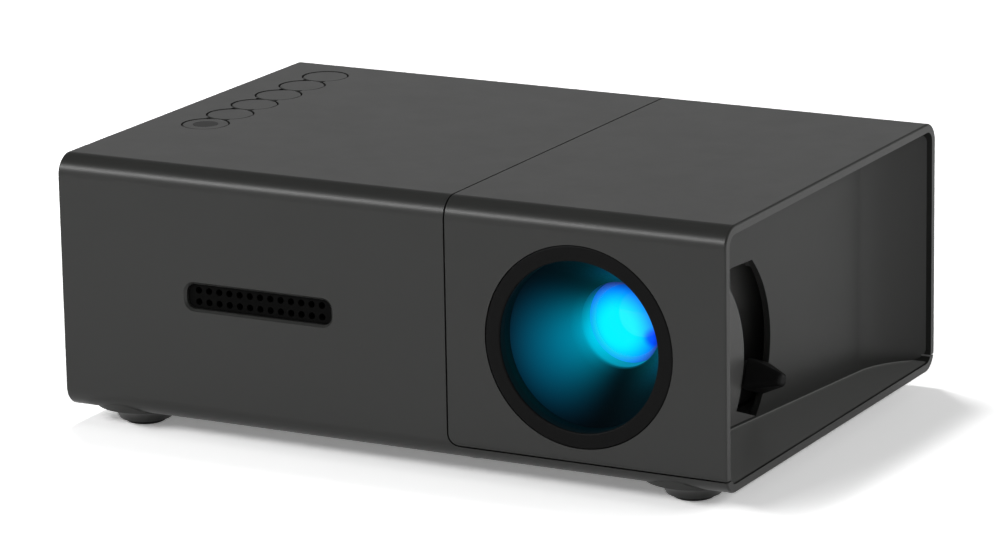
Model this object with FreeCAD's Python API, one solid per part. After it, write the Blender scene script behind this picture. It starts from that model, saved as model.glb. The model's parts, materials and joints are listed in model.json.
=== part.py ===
import FreeCAD, Part
import math
import os

from FreeCAD import Vector as V

# Palm-sized LED projector with its lens in the right half of the front.
# Millimetres. The origin lies on the floor under the middle of the body.
# +X is the projector's right as seen from in front, +Y its rear, +Z up.

# Body: a rounded tube along X, split by a seam into a left sleeve and a right cap.
BODY_W = 126.0
BODY_D = 85.0
BODY_H = 44.6
EDGE_R = 3.6
WALL = 1.8
FLOOR_T = 1.5
END_EDGE_R = 0.35
SEAM_TO_LENS = 24.3
SEAM_GAP = 0.3
SEAM_CORNER_R = 2.0
TRAY_H = 2.7
TONGUE_T = 0.8
TONGUE_REACH = 1.8
TRAY_LIP_REACH = 1.0

# Clearances.
SLIP = 0.1
SEAT = 0.05
RUN = 0.07

# Feet: hollow-flared bosses under the body with rubber pads in them.
FOOT_H = 3.4
FOOT_SIDE_INSET = 10.3
FOOT_END_INSET = 9.2
FOOT_TOP_R = 8.4
FOOT_LOW_R = 4.6
FOOT_BOSS_H = 2.6
PAD_R = 3.6
PAD_SINK = 1.0
PAD_ROUND = 0.5

# Lens opening in the cap.
LENS_INSET = 26.6
LENS_H = 22.1
BEZEL_R = 17.1
BEZEL_FACE = 2.7
BEZEL_ROUND = 0.35
BARREL_FLANGE_R = 18.2
BARREL_FLANGE_T = 1.7
CONE_START = 3.5
CONE_END = 15.6
BARREL_WALL = 0.93
CONE_WALL = 1.2
CARRIER_R = 7.2
CARRIER_WALL = 0.7
CARRIER_FRONT = 18.5
CARRIER_LENGTH = 16.6
LENS_LIP = 0.5
LENS_LIP_BORE_R = 6.2
FRONT_LENS_T = 4.6
FRONT_LENS_CROWN = 1.3
REAR_LENS_T = 4.0
REAR_LENS_CROWN = 1.0

# Recess in the right side: a flat panel that lies deeper towards the front.
RIM = 1.5
PANEL_ANGLE = 6.9
PANEL_T = 1.2
SCOOP_LIP = 2.5
SCOOP_R = 8.0
SCOOP_REACH = 4.4
REAR_SWEEP_R = 15.0
REAR_SWEEP_ANGLE = 60.0
REAR_LIP = 1.0

# Focus lever: it turns about an axis square to the panel and reaches out through an arc slot.
PIVOT_BACK = 22.5
PIVOT_H = 15.2
PIVOT_DEPTH = 14.69
SLOT_R = 20.7
SLOT_TOP = 14.3
GUIDE_EDGE_R = 19.2
GUIDE_EDGE_BACK = 6.9
GUIDE_EDGE_DOWN = 1.4
SLOT_END_DROP = 6.57
LEVER_REST = 21.0
LEVER_UP = 57.0
LEVER_DOWN = 11.0
LEVER_T = 1.1
LEVER_GAP = 0.3
HUB_R = 4.4
PIVOT_R = 1.2
STEM_IN_R = 14.6
STEM_OUT_R = 19.6
STEM_W = 4.4
KNOB_IN_R = 12.9
KNOB_OUT_R = 20.3
KNOB_W = 5.4
KNOB_TIP_R = 15.9
KNOB_TIP_L = 2.4
KNOB_TIP_W = 2.0
KNOB_H = 6.2
KNOB_LIFT = 0.3
KNOB_CORNER_R = 0.9
KNOB_ROUND = 0.8
CAM_R = 9.0
CAM_RISE = 2.53
CAM_RIM = 2.4
CAM_PIN_R = 1.0
CAM_CLEAR = 0.2
CAM_POINTS = 9
PIVOT_FLOOR_T = 0.2
GUIDE_T = 1.0
GUIDE_FRONT = -6.8
GUIDE_REAR = 16.4
GUIDE_LOW = -12.9
GUIDE_HIGH = 19.5
WINDOW_FRONT = 6.4
WINDOW_SILL = 0.5

# Front slot on the left, with its perforated insert and the speaker behind it.
SLOT_INSET = 39.0
SLOT_H = 22.6
SLOT_W = 28.0
SLOT_TALL = 4.2
SLOT_CORNER_R = 1.5
SLOT_EDGE = 0.4
GRILLE_SINK = 0.9
GRILLE_FLANGE = 1.2
GRILLE_FLANGE_T = 1.2
GRILLE_HOLE_R = 0.6
GRILLE_PITCH = 2.0
GRILLE_ROWS = 2
SPEAKER_W = 34.0
SPEAKER_TALL = 20.0
SPEAKER_DEEP = 6.0
SPEAKER_RIM = 1.6
SPEAKER_CORNER_R = 3.3
CONE_NARROW = 5.0
CONE_SKIN = 0.8
MAGNET_R = 6.5
MAGNET_T = 2.6

# Six round buttons in one scalloped recess along the left edge of the top.
BUTTON_INSET = 10.75
BUTTON_FIRST = 31.1
BUTTON_PITCH = 8.4
BUTTON_COUNT = 6
BUTTON_NAMES = ("power", "source", "menu", "left", "right", "back")
BUTTON_R = 4.05
BUTTON_T = 0.8
BUTTON_ROUND = 0.2
BUTTON_PROUD = -0.05
BUTTON_TRAVEL = 0.4
WELL_R = 4.3
WELL_NOTCH = 2.2
WELL_NOTCH_W = 1.2
WELL_DEPTH = 1.4
WELL_PAD_T = 1.4
STEM_R = 1.6
STEM_END = 0.5
INDICATOR_R = 2.2
INDICATOR_T = 0.4
BUTTON_BOARD_T = 1.0
BUTTON_BOARD_HALF = 4.8
SWITCH_SIZE = 3.4
SWITCH_T = 0.9
POST_R = 1.4
POST_PIN_R = 0.7
POST_PIN_END = 0.6
SWITCH_BODY_T = 0.6
SWITCH_DOME_R = 0.85

# Left side: a slotted plate set into the open end of the sleeve.
SIDE_SINK = 0.6
SIDE_T = 1.8
VENT_COUNT = 9
VENT_PITCH = 3.6
VENT_W = 1.8
VENT_TALL = 24.0
STOP_T = 1.2
STOP_W = 1.2

# Fan behind the slots.
FAN_BACK = 52.0
FAN_SIZE = 35.0
FAN_T = 10.0
FAN_BORE_R = 16.4
FAN_CORNER_R = 3.0
FAN_HUB_R = 6.8
FAN_SHAFT_R = 1.0
FAN_TIP_GAP = 0.6
FAN_CAP_T = 1.0
FAN_BLADES = 7
FAN_STRUT_W = 2.0
FAN_PLATE_T = 1.2
BLADE_T = 0.8
BLADE_ROOT_TWIST = 50.0
BLADE_TIP_TWIST = 28.0
BLADE_CHORD = 9.0
FAN_STRUTS = (90, 210, 330)
FAN_SCREW_INSET = 2.6
FAN_SCREW_SINK = 1.0
FAN_SCREW_L = 5.0

# Light engine: a folded channel from the LED to the lens.
ENGINE_LONG = 69.6
ENGINE_PAST_LENS = 7.6
ENGINE_FRONT = 34.4
ENGINE_REAR = 71.6
ENGINE_WALL = 1.4
ENGINE_H = 37.0
ENGINE_LID_T = 1.2
ENGINE_LIP_H = 1.0
ENGINE_EAR_T = 1.6
ENGINE_EAR_OUT = 3.2
FRONT_EARS = (21.6, 41.6)
REAR_EARS = (47.6, 63.6)
MIRROR_BACK = 53.0
MIRROR_T = 1.2
MIRROR_ANGLE = 45.0
MIRROR_LEFT = 13.0
MIRROR_RIGHT = 5.0
MIRROR_TALL = 30.0
FRESNEL_T = 1.4
FRESNEL_NEAR = 14.6
FRESNEL_FAR = 5.4
LCD_TO_LENS = 26.4
LCD_T = 1.8
LCD_TALL = 31.0
HOLDER_SETBACK = 11.1
HOLDER_T = 3.0
CONDENSER_R = 12.0
CONDENSER_EDGE = 1.2
CONDENSER_CROWN = 5.0
LED_BOARD_T = 1.4
LED_BOARD_SIZE = 26.0
LED_SIZE = 6.0
LED_T = 2.2
LED_DOME_R = 2.4
LED_BASE_T = 1.1
LED_ROUND = 0.7
SINK_BASE_T = 3.0
SINK_W = 33.0
SINK_TALL = 33.0
SINK_FIN_L = 17.5
SINK_FIN_T = 1.3
SINK_FINS = 9
SINK_LIFT = 1.2

# Boards stand on posts from the floor.
STANDOFF_H = 4.0
STANDOFF_R = 2.4
BOARD_T = 1.6
MAIN_BOARD_INSET = 5.0
MAIN_BOARD_LONG = 50.0
MAIN_BOARD_FRONT = 13.0
MAIN_BOARD_REAR = 32.0
IO_BOARD_SHORT = 0.7
IO_BOARD_INSET = 3.0
IO_BOARD_WIDE = 9.6
BOARD_HOLE_INSET = 3.0
RIBBON_ALONG = 18.0
RIBBON_W = 10.0
RIBBON_T = 0.3
COIL_L = 6.0
COIL_W = 7.0
COIL_TALL = 3.0
PROCESSOR_SIZE = 13.0
PROCESSOR_T = 1.6
MEMORY_L = 8.0
MEMORY_W = 12.0
MEMORY_T = 1.2
CAPACITOR_L = 5.0
CAPACITOR_W = 7.0
CAPACITOR_TALL = 4.0

# Rear sockets in their own plate.
PORTS_INSET = 5.5
PORTS_END = 5.0
PORTS_FAR_END = 8.7
PORTS_LOW = 4.6
PORTS_TALL = 13.0
PORTS_SINK = 0.3
PORTS_FLANGE = 1.0
PORTS_FLANGE_T = 1.0
SOCKET_WALL = 0.4
SOCKET_BACK_T = 1.2
CONTACT_INSET = 1.2
POWER_SIZE = 8.0
POWER_BORE_R = 3.15
POWER_PIN_R = 1.0
POWER_BORE_L = 9.6
POWER_PIN_SETBACK = 1.0
AV_STEP = 9.0
AV_SIZE = 7.0
AV_BORE_R = 1.8
CARD_STEP = 11.0
CARD_W = 12.5
CARD_TALL = 2.4
CARD_CONTACT_H = 0.4
CARD_CONTACT_T = 0.2
USB_STEP = 14.7
USB_W = 13.2
USB_TALL = 5.8
USB_CONTACT_H = 3.0
USB_CONTACT_T = 1.6
HDMI_STEP = 16.3
HDMI_W = 15.0
HDMI_TALL = 5.6
HDMI_CHAMFER = 1.4
HDMI_CONTACT_H = 3.1
HDMI_CONTACT_T = 0.8
SOCKET_SETBACK = 0.3
SOCKET_DEEP = 11.0
CARD_DEEP = 8.0
AV_BORE_L = 9.6

# Screws and the tripod thread.
SCREW_R = 1.1
SCREW_HEAD_R = 2.1
SCREW_HEAD_T = 1.2
CAP_SCREW_REACH = 3.4
CAP_SCREW_INSET = 6.0
CAP_BOSS_R = 3.2
CAP_BOSS_H = 13.0
CAP_SCREW_L = 9.0
SCREW_PAD_H = 2.2
TRIPOD_SIDE = 3.0
TRIPOD_BACK = 23.0
TRIPOD_BORE_R = 2.6
TRIPOD_INSERT_R = 4.4
TRIPOD_BOSS_WALL = 1.8
TRIPOD_DEEP = 8.0
TRIPOD_TOP_T = 1.4

# Derived places.
FRONT = -BODY_D / 2
REAR = BODY_D / 2
LEFT = -BODY_W / 2
RIGHT = BODY_W / 2
BASE = FOOT_H
TOP = FOOT_H + BODY_H
FLOOR = BASE + FLOOR_T
CEILING = TOP - WALL
LENS_X = RIGHT - LENS_INSET
LENS_Z = BASE + LENS_H
SEAM_X = LENS_X - SEAM_TO_LENS
CAP_SCREW_X = SEAM_X + CAP_SCREW_REACH
TRIPOD_X = (LEFT + RIGHT) / 2 + TRIPOD_SIDE
FOOT_X = RIGHT - FOOT_SIDE_INSET
SLOT_X = LEFT + SLOT_INSET
BUTTON_X = LEFT + BUTTON_INSET
BORE_R = CARRIER_R + RUN
BARREL_R = BORE_R + BARREL_WALL
BARREL_END = ENGINE_FRONT + ENGINE_WALL
PIVOT = V(RIGHT - PIVOT_DEPTH, FRONT + PIVOT_BACK, BASE + PIVOT_H)
LEVER_LOW = -(PANEL_T + GUIDE_T + LEVER_GAP + LEVER_T)
STANDOFF_TOP = FLOOR + STANDOFF_H
BOARD_TOP = STANDOFF_TOP + BOARD_T
SOCKET_MOUTH = REAR - PORTS_SINK - SOCKET_SETBACK
PORTS_L = LEFT + PORTS_INSET
POWER_X = PORTS_L + PORTS_END
AV_X = POWER_X + AV_STEP
CARD_X = AV_X + CARD_STEP
USB_X = CARD_X + USB_STEP
HDMI_X = USB_X + HDMI_STEP
PORTS_R = HDMI_X + PORTS_FAR_END
MAIN_BOARD_L = LEFT + MAIN_BOARD_INSET
MAIN_BOARD_R = MAIN_BOARD_L + MAIN_BOARD_LONG
IO_BOARD_L = PORTS_L
IO_BOARD_R = PORTS_R - IO_BOARD_SHORT
IO_BOARD_REAR = BODY_D - IO_BOARD_INSET
IO_BOARD_FRONT = IO_BOARD_REAR - IO_BOARD_WIDE
RIBBON_X = MAIN_BOARD_L + RIBBON_ALONG
PAD_BOTTOM = TOP - WELL_DEPTH - WELL_PAD_T
BUTTON_BOARD_TOP = PAD_BOTTOM - STEM_END - BUTTON_TRAVEL - SLIP - SWITCH_T
FAN_X = LEFT + SIDE_SINK + SIDE_T
FAN_Z = FLOOR + STOP_W + SEAT + FAN_SIZE / 2
ENGINE_Y = FRONT + MIRROR_BACK
ENGINE_RIGHT = LENS_X + ENGINE_PAST_LENS
ENGINE_LEFT = ENGINE_RIGHT - ENGINE_LONG
LCD_X = LENS_X - LCD_TO_LENS
HOLDER_X = ENGINE_LEFT + HOLDER_SETBACK
ENGINE_FLOOR = FLOOR + ENGINE_WALL
ROOT2 = 1 / math.cos(math.radians(MIRROR_ANGLE))
OVER = 1.0
TOUCH = 0.01

X_AXIS = V(1, 0, 0)
Y_AXIS = V(0, 1, 0)
Z_AXIS = V(0, 0, 1)
ORIGIN = V(0, 0, 0)

PLACE_ON = {
    "x": lambda u, v, w: V(w, u, v),
    "y": lambda u, v, w: V(u, w, v),
    "z": lambda u, v, w: V(u, v, w),
}
DIRECTION = {"x": X_AXIS, "y": Y_AXIS, "z": Z_AXIS}


# ---------------------------------------------------------------- shape helpers

def box(x0, x1, y0, y1, z0, z1):
    return Part.makeBox(x1 - x0, y1 - y0, z1 - z0, V(x0, y0, z0))


def rod(start, axis, radius, length):
    return Part.makeCylinder(radius, length, start, axis)


def fuse(*shapes):
    joined = shapes[0].fuse(list(shapes[1:]))
    return joined.removeSplitter()


def group(shapes):
    return Part.makeCompound(shapes)


def outline(axis, points, level):
    """Closed wire square to an axis, through corners (u, v, radius)."""
    lift = PLACE_ON[axis]
    edges = []
    ends = []
    count = len(points)
    for i in range(count):
        here = V(points[i][0], points[i][1], 0)
        back = V(points[i - 1][0], points[i - 1][1], 0).sub(here).normalize()
        ahead = V(points[(i + 1) % count][0], points[(i + 1) % count][1], 0).sub(here).normalize()
        radius = points[i][2]
        start = here
        finish = here
        if radius > 0:
            half = back.getAngle(ahead) / 2
            start = here + back * (radius / math.tan(half))
            finish = here + ahead * (radius / math.tan(half))
            middle = here + (back + ahead).normalize() * (radius / math.sin(half) - radius)
            arc = [lift(p.x, p.y, level) for p in (start, middle, finish)]
            edges.append(Part.Arc(*arc).toShape())
        ends.append((start, finish))
    for i in range(count):
        start = ends[i][1]
        finish = ends[(i + 1) % count][0]
        if start.distanceToPoint(finish) > TOUCH:
            ends_lifted = [lift(p.x, p.y, level) for p in (start, finish)]
            edges.append(Part.LineSegment(*ends_lifted).toShape())
    return Part.Wire(Part.__sortEdges__(edges))


def prism(axis, points, low, high):
    face = Part.Face(outline(axis, points, low))
    return face.extrude(DIRECTION[axis] * (high - low))


def rect(u0, u1, v0, v1, radius):
    return [(u0, v0, radius), (u1, v0, radius), (u1, v1, radius), (u0, v1, radius)]


def turned(axis_start, profile):
    """Solid of revolution about a line along Y; profile holds (radius, y) corners."""
    points = [V(axis_start.x + r, axis_start.y + y, axis_start.z) for r, y in profile]
    face = Part.Face(Part.makePolygon(points + points[:1]))
    return face.revolve(axis_start, Y_AXIS, 360)


def body_prism(inset, x0, x1):
    low = BASE + min(inset, FLOOR_T + inset - WALL) if inset > 0 else BASE
    return prism("x", rect(FRONT + inset, REAR - inset, low, TOP - inset, max(EDGE_R - inset, 0)), x0, x1)


def end_edges(solid, x):
    return [e for e in solid.Edges if abs(e.BoundBox.XMin - x) < TOUCH and abs(e.BoundBox.XMax - x) < TOUCH]


# ---------------------------------------------------------------- places

def lens_point(back):
    """Point on the lens axis, so far behind the front face."""
    return V(LENS_X, FRONT + back, LENS_Z)


def on_panel(shape):
    """Moves a shape from the lever's frame (out, back, up) onto the slanted panel."""
    shape.rotate(ORIGIN, Z_AXIS, -PANEL_ANGLE)
    shape.translate(PIVOT)
    return shape


def panel_point(out, back):
    turn = math.radians(PANEL_ANGLE)
    square = V(math.cos(turn), -math.sin(turn), 0)
    along = V(math.sin(turn), math.cos(turn), 0)
    return PIVOT + square * out + along * back


def button_y(i):
    return FRONT + BUTTON_FIRST + BUTTON_PITCH * i


def board_post_ys():
    """Posts stand between the first two buttons and between the last two."""
    between = BUTTON_PITCH / 2
    return [button_y(0) + between, button_y(BUTTON_COUNT - 1) - between]


def main_board_holes():
    xs = (MAIN_BOARD_L + BOARD_HOLE_INSET, MAIN_BOARD_R - BOARD_HOLE_INSET)
    ys = (FRONT + MAIN_BOARD_FRONT + BOARD_HOLE_INSET, FRONT + MAIN_BOARD_REAR - BOARD_HOLE_INSET)
    return [(x, y) for x in xs for y in ys]


def io_board_posts():
    y = FRONT + (IO_BOARD_FRONT + IO_BOARD_REAR) / 2
    middle = (CARD_X + CARD_W / 2 + USB_X - USB_W / 2) / 2
    return [(IO_BOARD_L + BOARD_HOLE_INSET, y), (middle, y), (IO_BOARD_R - BOARD_HOLE_INSET, y)]


def engine_ears():
    front = [(ENGINE_LEFT + x, FRONT + ENGINE_FRONT - ENGINE_EAR_OUT) for x in FRONT_EARS]
    rear = [(ENGINE_LEFT + x, FRONT + ENGINE_REAR + ENGINE_EAR_OUT) for x in REAR_EARS]
    return front + rear


def cap_screw_places():
    return [(CAP_SCREW_X, FRONT + CAP_SCREW_INSET), (CAP_SCREW_X, REAR - CAP_SCREW_INSET)]


def foot_places():
    ys = (FRONT + FOOT_END_INSET, REAR - FOOT_END_INSET)
    return {(side, end): (x, y) for side, x in (("left", -FOOT_X), ("right", FOOT_X))
            for end, y in zip(("front", "rear"), ys)}


# ---------------------------------------------------------------- housing

def cap_region(grow):
    corner = SEAM_CORNER_R + grow
    low = BASE + TRAY_H - grow
    points = [(SEAM_X - grow, low, corner), (RIGHT + OVER, low, 0),
              (RIGHT + OVER, TOP + OVER, 0), (SEAM_X - grow, TOP + OVER, 0)]
    return prism("y", points, FRONT - OVER, REAR + OVER)


def sweep_start():
    """Where the flat panel's line meets the line that sweeps out to the rear rim."""
    panel = math.radians(PANEL_ANGLE)
    sweep = math.radians(REAR_SWEEP_ANGLE)
    depth = RIGHT - REAR_LIP - PIVOT.x
    length = REAR - RIM - PIVOT.y
    run = (length * math.sin(sweep) - depth * math.cos(sweep)) / math.sin(sweep - panel)
    return panel_point(0, run)


def recess_outline():
    knee = panel_point(0, SCOOP_REACH)
    back = sweep_start()
    return [(RIGHT + OVER, FRONT + RIM, 0), (RIGHT - SCOOP_LIP, FRONT + RIM, END_EDGE_R),
            (knee.x, knee.y, SCOOP_R), (back.x, back.y, REAR_SWEEP_R), (RIGHT - REAR_LIP, REAR - RIM, 0),
            (RIGHT + OVER, REAR - RIM, 0)]


def recess_prism(grow):
    face = Part.Face(outline("z", recess_outline(), BASE - OVER))
    if grow > 0:
        face = face.makeOffset2D(grow)
    return face.extrude(Z_AXIS * (BODY_H + 2 * OVER))


def recess():
    mouth = rect(FRONT + RIM, REAR - RIM, FLOOR, TOP - RIM, EDGE_R - RIM)
    return recess_prism(0).common(prism("x", mouth, LENS_X, RIGHT + OVER))


def shell_blank():
    solid = body_prism(0, LEFT, RIGHT)
    return solid.makeFillet(END_EDGE_R, end_edges(solid, LEFT) + end_edges(solid, RIGHT))


def lever_window():
    """Opening in the side panel, in the lever's frame."""
    low = FLOOR + WINDOW_SILL - PIVOT.z
    block = prism("x", rect(WINDOW_FRONT, SLOT_R + OVER, low, SLOT_TOP, 0), -2 * PANEL_T, OVER)
    return block.common(rod(V(-2 * PANEL_T, 0, 0), X_AXIS, SLOT_R, 2 * PANEL_T + OVER))


def guide_side(low, high):
    """Everything on the guide's side of the arc slot, between two levels."""
    edge = rod(V(low, -GUIDE_EDGE_BACK, -GUIDE_EDGE_DOWN), X_AXIS, GUIDE_EDGE_R, high - low)
    end = box(low, high, -2 * SLOT_R, 2 * SLOT_R, -3 * SLOT_R, -SLOT_END_DROP)
    end.rotate(ORIGIN, X_AXIS, -LEVER_REST)
    return edge.fuse(end)


def cap_boss(x, y):
    """Screw boss in the cap with a web to the nearest wall, and the screw's hole."""
    start = V(x, y, FLOOR + SCREW_PAD_H)
    wall = math.copysign(REAR, y)
    web = box(x - CAP_BOSS_R / 2, x + CAP_BOSS_R / 2, min(y, wall), max(y, wall),
              start.z, start.z + CAP_BOSS_H)
    web = web.common(body_prism(WALL / 2, SEAM_X, RIGHT))
    hole = rod(start, Z_AXIS, SCREW_R, CAP_SCREW_L)
    return rod(start, Z_AXIS, CAP_BOSS_R, CAP_BOSS_H).fuse(web), hole


def lens_side_cap():
    cavity = body_prism(WALL, SEAM_X - OVER, RIGHT - RIM).cut(recess_prism(PANEL_T))
    cap = shell_blank().common(cap_region(0)).cut(cavity).cut(recess())
    skirt = recess_prism(PANEL_T).cut(recess_prism(0))
    skirt = skirt.common(box(LENS_X, RIGHT - RIM, FRONT + WALL + SLIP, REAR - WALL - SLIP,
                             FLOOR, BASE + TRAY_H + OVER))
    cap = fuse(cap, skirt)
    cap = cap.cut(rod(lens_point(-OVER), Y_AXIS, BEZEL_R + SEAT, WALL + 2 * OVER))
    cap = cap.cut(on_panel(lever_window()))
    for x, y in cap_screw_places():
        boss, hole = cap_boss(x, y)
        cap = cap.fuse(boss).cut(hole)
    return cap.removeSplitter()


def tongue():
    hidden = body_prism(WALL, SEAM_X - TONGUE_REACH, SEAM_X - SEAM_GAP)
    shown = body_prism(WALL + SLIP, SEAM_X - SEAM_GAP, SEAM_X + TONGUE_REACH)
    bore = body_prism(WALL + TONGUE_T, SEAM_X - 2 * TONGUE_REACH, SEAM_X + 2 * TONGUE_REACH)
    ring = hidden.fuse(shown).cut(bore)
    return ring.cut(box(LEFT, RIGHT, FRONT, REAR, BASE, BASE + TRAY_H + TRAY_LIP_REACH))


def tray_lips():
    top = BASE + TRAY_H + TRAY_LIP_REACH
    inner = FRONT + WALL + SLIP
    front = box(SEAM_X - TONGUE_REACH, LENS_X + BEZEL_R, inner, inner + TONGUE_T, FLOOR, top)
    rear = box(SEAM_X - TONGUE_REACH, ENGINE_RIGHT, -inner - TONGUE_T, -inner, FLOOR, top)
    return front, rear


def foot_flare(x, y):
    """Turned boss whose side is a hollow arc that runs level into the body's bottom."""
    spread = FOOT_TOP_R - FOOT_LOW_R
    radius = (spread ** 2 + FOOT_BOSS_H ** 2) / (2 * FOOT_BOSS_H)
    half_turn = math.atan2(spread, radius - FOOT_BOSS_H) / 2
    top = V(FOOT_TOP_R, 0, BASE)
    middle = top + V(-radius * math.sin(half_turn), 0, radius * (math.cos(half_turn) - 1))
    low = V(FOOT_LOW_R, 0, BASE - FOOT_BOSS_H)
    corners = [low, V(0, 0, low.z), V(0, 0, BASE), top]
    edges = [Part.LineSegment(a, b).toShape() for a, b in zip(corners, corners[1:])]
    edges.append(Part.Arc(top, middle, low).toShape())
    solid = Part.Face(Part.Wire(edges)).revolve(ORIGIN, Z_AXIS, 360)
    solid.translate(V(x, y, 0))
    return solid


def foot_boss(x, y):
    flare = foot_flare(x, y)
    root = rod(V(x, y, BASE), Z_AXIS, FOOT_TOP_R, FLOOR_T)
    socket = rod(V(x, y, BASE - FOOT_BOSS_H), Z_AXIS, PAD_R + SEAT, PAD_SINK)
    return flare.fuse(root), socket


def stop_frame():
    start = LEFT + SIDE_SINK + SIDE_T
    outer = body_prism(WALL, start, start + STOP_T)
    inner = body_prism(WALL + STOP_W, start - OVER, start + STOP_T + OVER)
    return outer.cut(inner)


def button_recess():
    low = TOP - WELL_DEPTH
    wells = [rod(V(BUTTON_X, button_y(i), low), Z_AXIS, WELL_R, WELL_DEPTH + OVER)
             for i in range(BUTTON_COUNT)]
    for i in range(BUTTON_COUNT - 1):
        notch = button_y(i) + (BUTTON_PITCH - WELL_NOTCH_W) / 2
        wells.append(box(BUTTON_X - WELL_NOTCH, BUTTON_X + WELL_NOTCH, notch, notch + WELL_NOTCH_W,
                         low, TOP + OVER))
    return wells[0].fuse(wells[1:])


def button_pad():
    half = WELL_R + WALL / 2
    first = button_y(0) - half
    last = button_y(BUTTON_COUNT - 1) + half
    return box(BUTTON_X - half, BUTTON_X + half, first, last, PAD_BOTTOM, CEILING)


def button_posts():
    posts = []
    pin = BUTTON_BOARD_T + POST_PIN_END
    for y in board_post_ys():
        foot = V(BUTTON_X, y, BUTTON_BOARD_TOP)
        posts.append(rod(foot, Z_AXIS, POST_R, PAD_BOTTOM - BUTTON_BOARD_TOP))
        posts.append(rod(foot - Z_AXIS * pin, Z_AXIS, POST_PIN_R, pin))
    return posts


def port_window(grow, flange, y0, y1):
    low = BASE + PORTS_LOW
    points = rect(PORTS_L - grow - flange, PORTS_R + grow + flange,
                  low - grow - flange, low + PORTS_TALL + grow + flange, WALL)
    return prism("y", points, y0, y1)


def front_slot_wire(grow, y):
    middle = BASE + SLOT_H
    points = rect(SLOT_X - SLOT_W / 2 - grow, SLOT_X + SLOT_W / 2 + grow,
                  middle - SLOT_TALL / 2 - grow, middle + SLOT_TALL / 2 + grow, SLOT_CORNER_R + grow)
    return outline("y", points, y)


def front_slot(grow, y0, y1):
    return Part.Face(front_slot_wire(grow, y0)).extrude(Y_AXIS * (y1 - y0))


def slot_chamfer():
    return Part.makeLoft([front_slot_wire(SLOT_EDGE + SLIP, FRONT), front_slot_wire(SLIP, FRONT + SLOT_EDGE)], True)


def standoff(x, y):
    post = rod(V(x, y, FLOOR - SEAT), Z_AXIS, STANDOFF_R, STANDOFF_H + SEAT)
    return post, rod(V(x, y, FLOOR), Z_AXIS, SCREW_R, STANDOFF_H + OVER)


def main_case():
    case = shell_blank().cut(cap_region(SEAM_GAP))
    case = case.cut(body_prism(WALL, LEFT - OVER, RIGHT + OVER))
    case = case.cut(recess())
    added = [tongue(), stop_frame(), button_pad()]
    added.extend(tray_lips())
    added.extend(button_posts())
    cuts = [button_recess(), port_window(SLIP, 0, REAR - WALL - OVER, REAR + OVER),
            front_slot(SLIP, FRONT - OVER, FRONT + WALL + OVER), slot_chamfer()]
    for x, y in main_board_holes() + engine_ears():
        post, hole = standoff(x, y)
        added.append(post)
        cuts.append(hole)
    for x, y in io_board_posts():
        added.append(standoff(x, y)[0])
    for x, y in foot_places().values():
        flare, socket = foot_boss(x, y)
        added.append(flare)
        cuts.append(socket)
    for x, y in cap_screw_places():
        added.append(rod(V(x, y, BASE), Z_AXIS, CAP_BOSS_R, FLOOR_T + SCREW_PAD_H))
        cuts.append(rod(V(x, y, BASE - OVER), Z_AXIS, SCREW_HEAD_R + SLIP, OVER + SCREW_HEAD_T))
        cuts.append(rod(V(x, y, BASE), Z_AXIS, SCREW_R + SLIP, FLOOR_T + SCREW_PAD_H + OVER))
    tripod = V(TRIPOD_X, FRONT + TRIPOD_BACK, BASE)
    added.append(rod(tripod, Z_AXIS, TRIPOD_INSERT_R + TRIPOD_BOSS_WALL, TRIPOD_DEEP + TRIPOD_TOP_T))
    cuts.append(rod(tripod, Z_AXIS, TRIPOD_INSERT_R + SEAT, TRIPOD_DEEP))
    for i in range(BUTTON_COUNT):
        cuts.append(rod(V(BUTTON_X, button_y(i), PAD_BOTTOM - OVER), Z_AXIS, STEM_R + SLIP, WALL + 3 * OVER))
    case = case.fuse(added)
    return case.cut(cuts).removeSplitter()


def left_side_grille():
    start = LEFT + SIDE_SINK
    plate = body_prism(WALL + SLIP, start, start + SIDE_T)
    middle = FRONT + FAN_BACK
    half = VENT_TALL / 2
    slots = []
    for i in range(VENT_COUNT):
        y = middle + (i - (VENT_COUNT - 1) / 2) * VENT_PITCH
        points = rect(y - VENT_W / 2, y + VENT_W / 2, FAN_Z - half, FAN_Z + half, VENT_W / 2 - SEAT)
        slots.append(prism("x", points, start - OVER, start + SIDE_T + OVER))
    for y, z in fan_screw_places():
        slots.append(rod(V(start - OVER, y, z), X_AXIS, SCREW_R + SLIP, SIDE_T + 2 * OVER))
        slots.append(rod(V(start - OVER, y, z), X_AXIS, SCREW_HEAD_R + SLIP, OVER + FAN_SCREW_SINK))
    return plate.cut(slots)


def rubber_foot(x, y):
    pad = rod(V(x, y, 0), Z_AXIS, PAD_R, BASE - FOOT_BOSS_H + PAD_SINK)
    low = [e for e in pad.Edges if e.BoundBox.ZMax < TOUCH]
    return pad.makeFillet(PAD_ROUND, low)


def rear_port_panel():
    plate = port_window(0, 0, REAR - WALL, REAR - PORTS_SINK)
    plate = plate.fuse(port_window(0, PORTS_FLANGE, REAR - WALL - PORTS_FLANGE_T, REAR - WALL))
    y0 = REAR - WALL - 2 * PORTS_FLANGE_T
    holes = [prism("y", socket_outline(x, width, height, -SLIP, 0), y0, REAR + OVER)
             for x, width, height in sockets()]
    return plate.cut(holes).removeSplitter()


# ---------------------------------------------------------------- front insert and speaker

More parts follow.
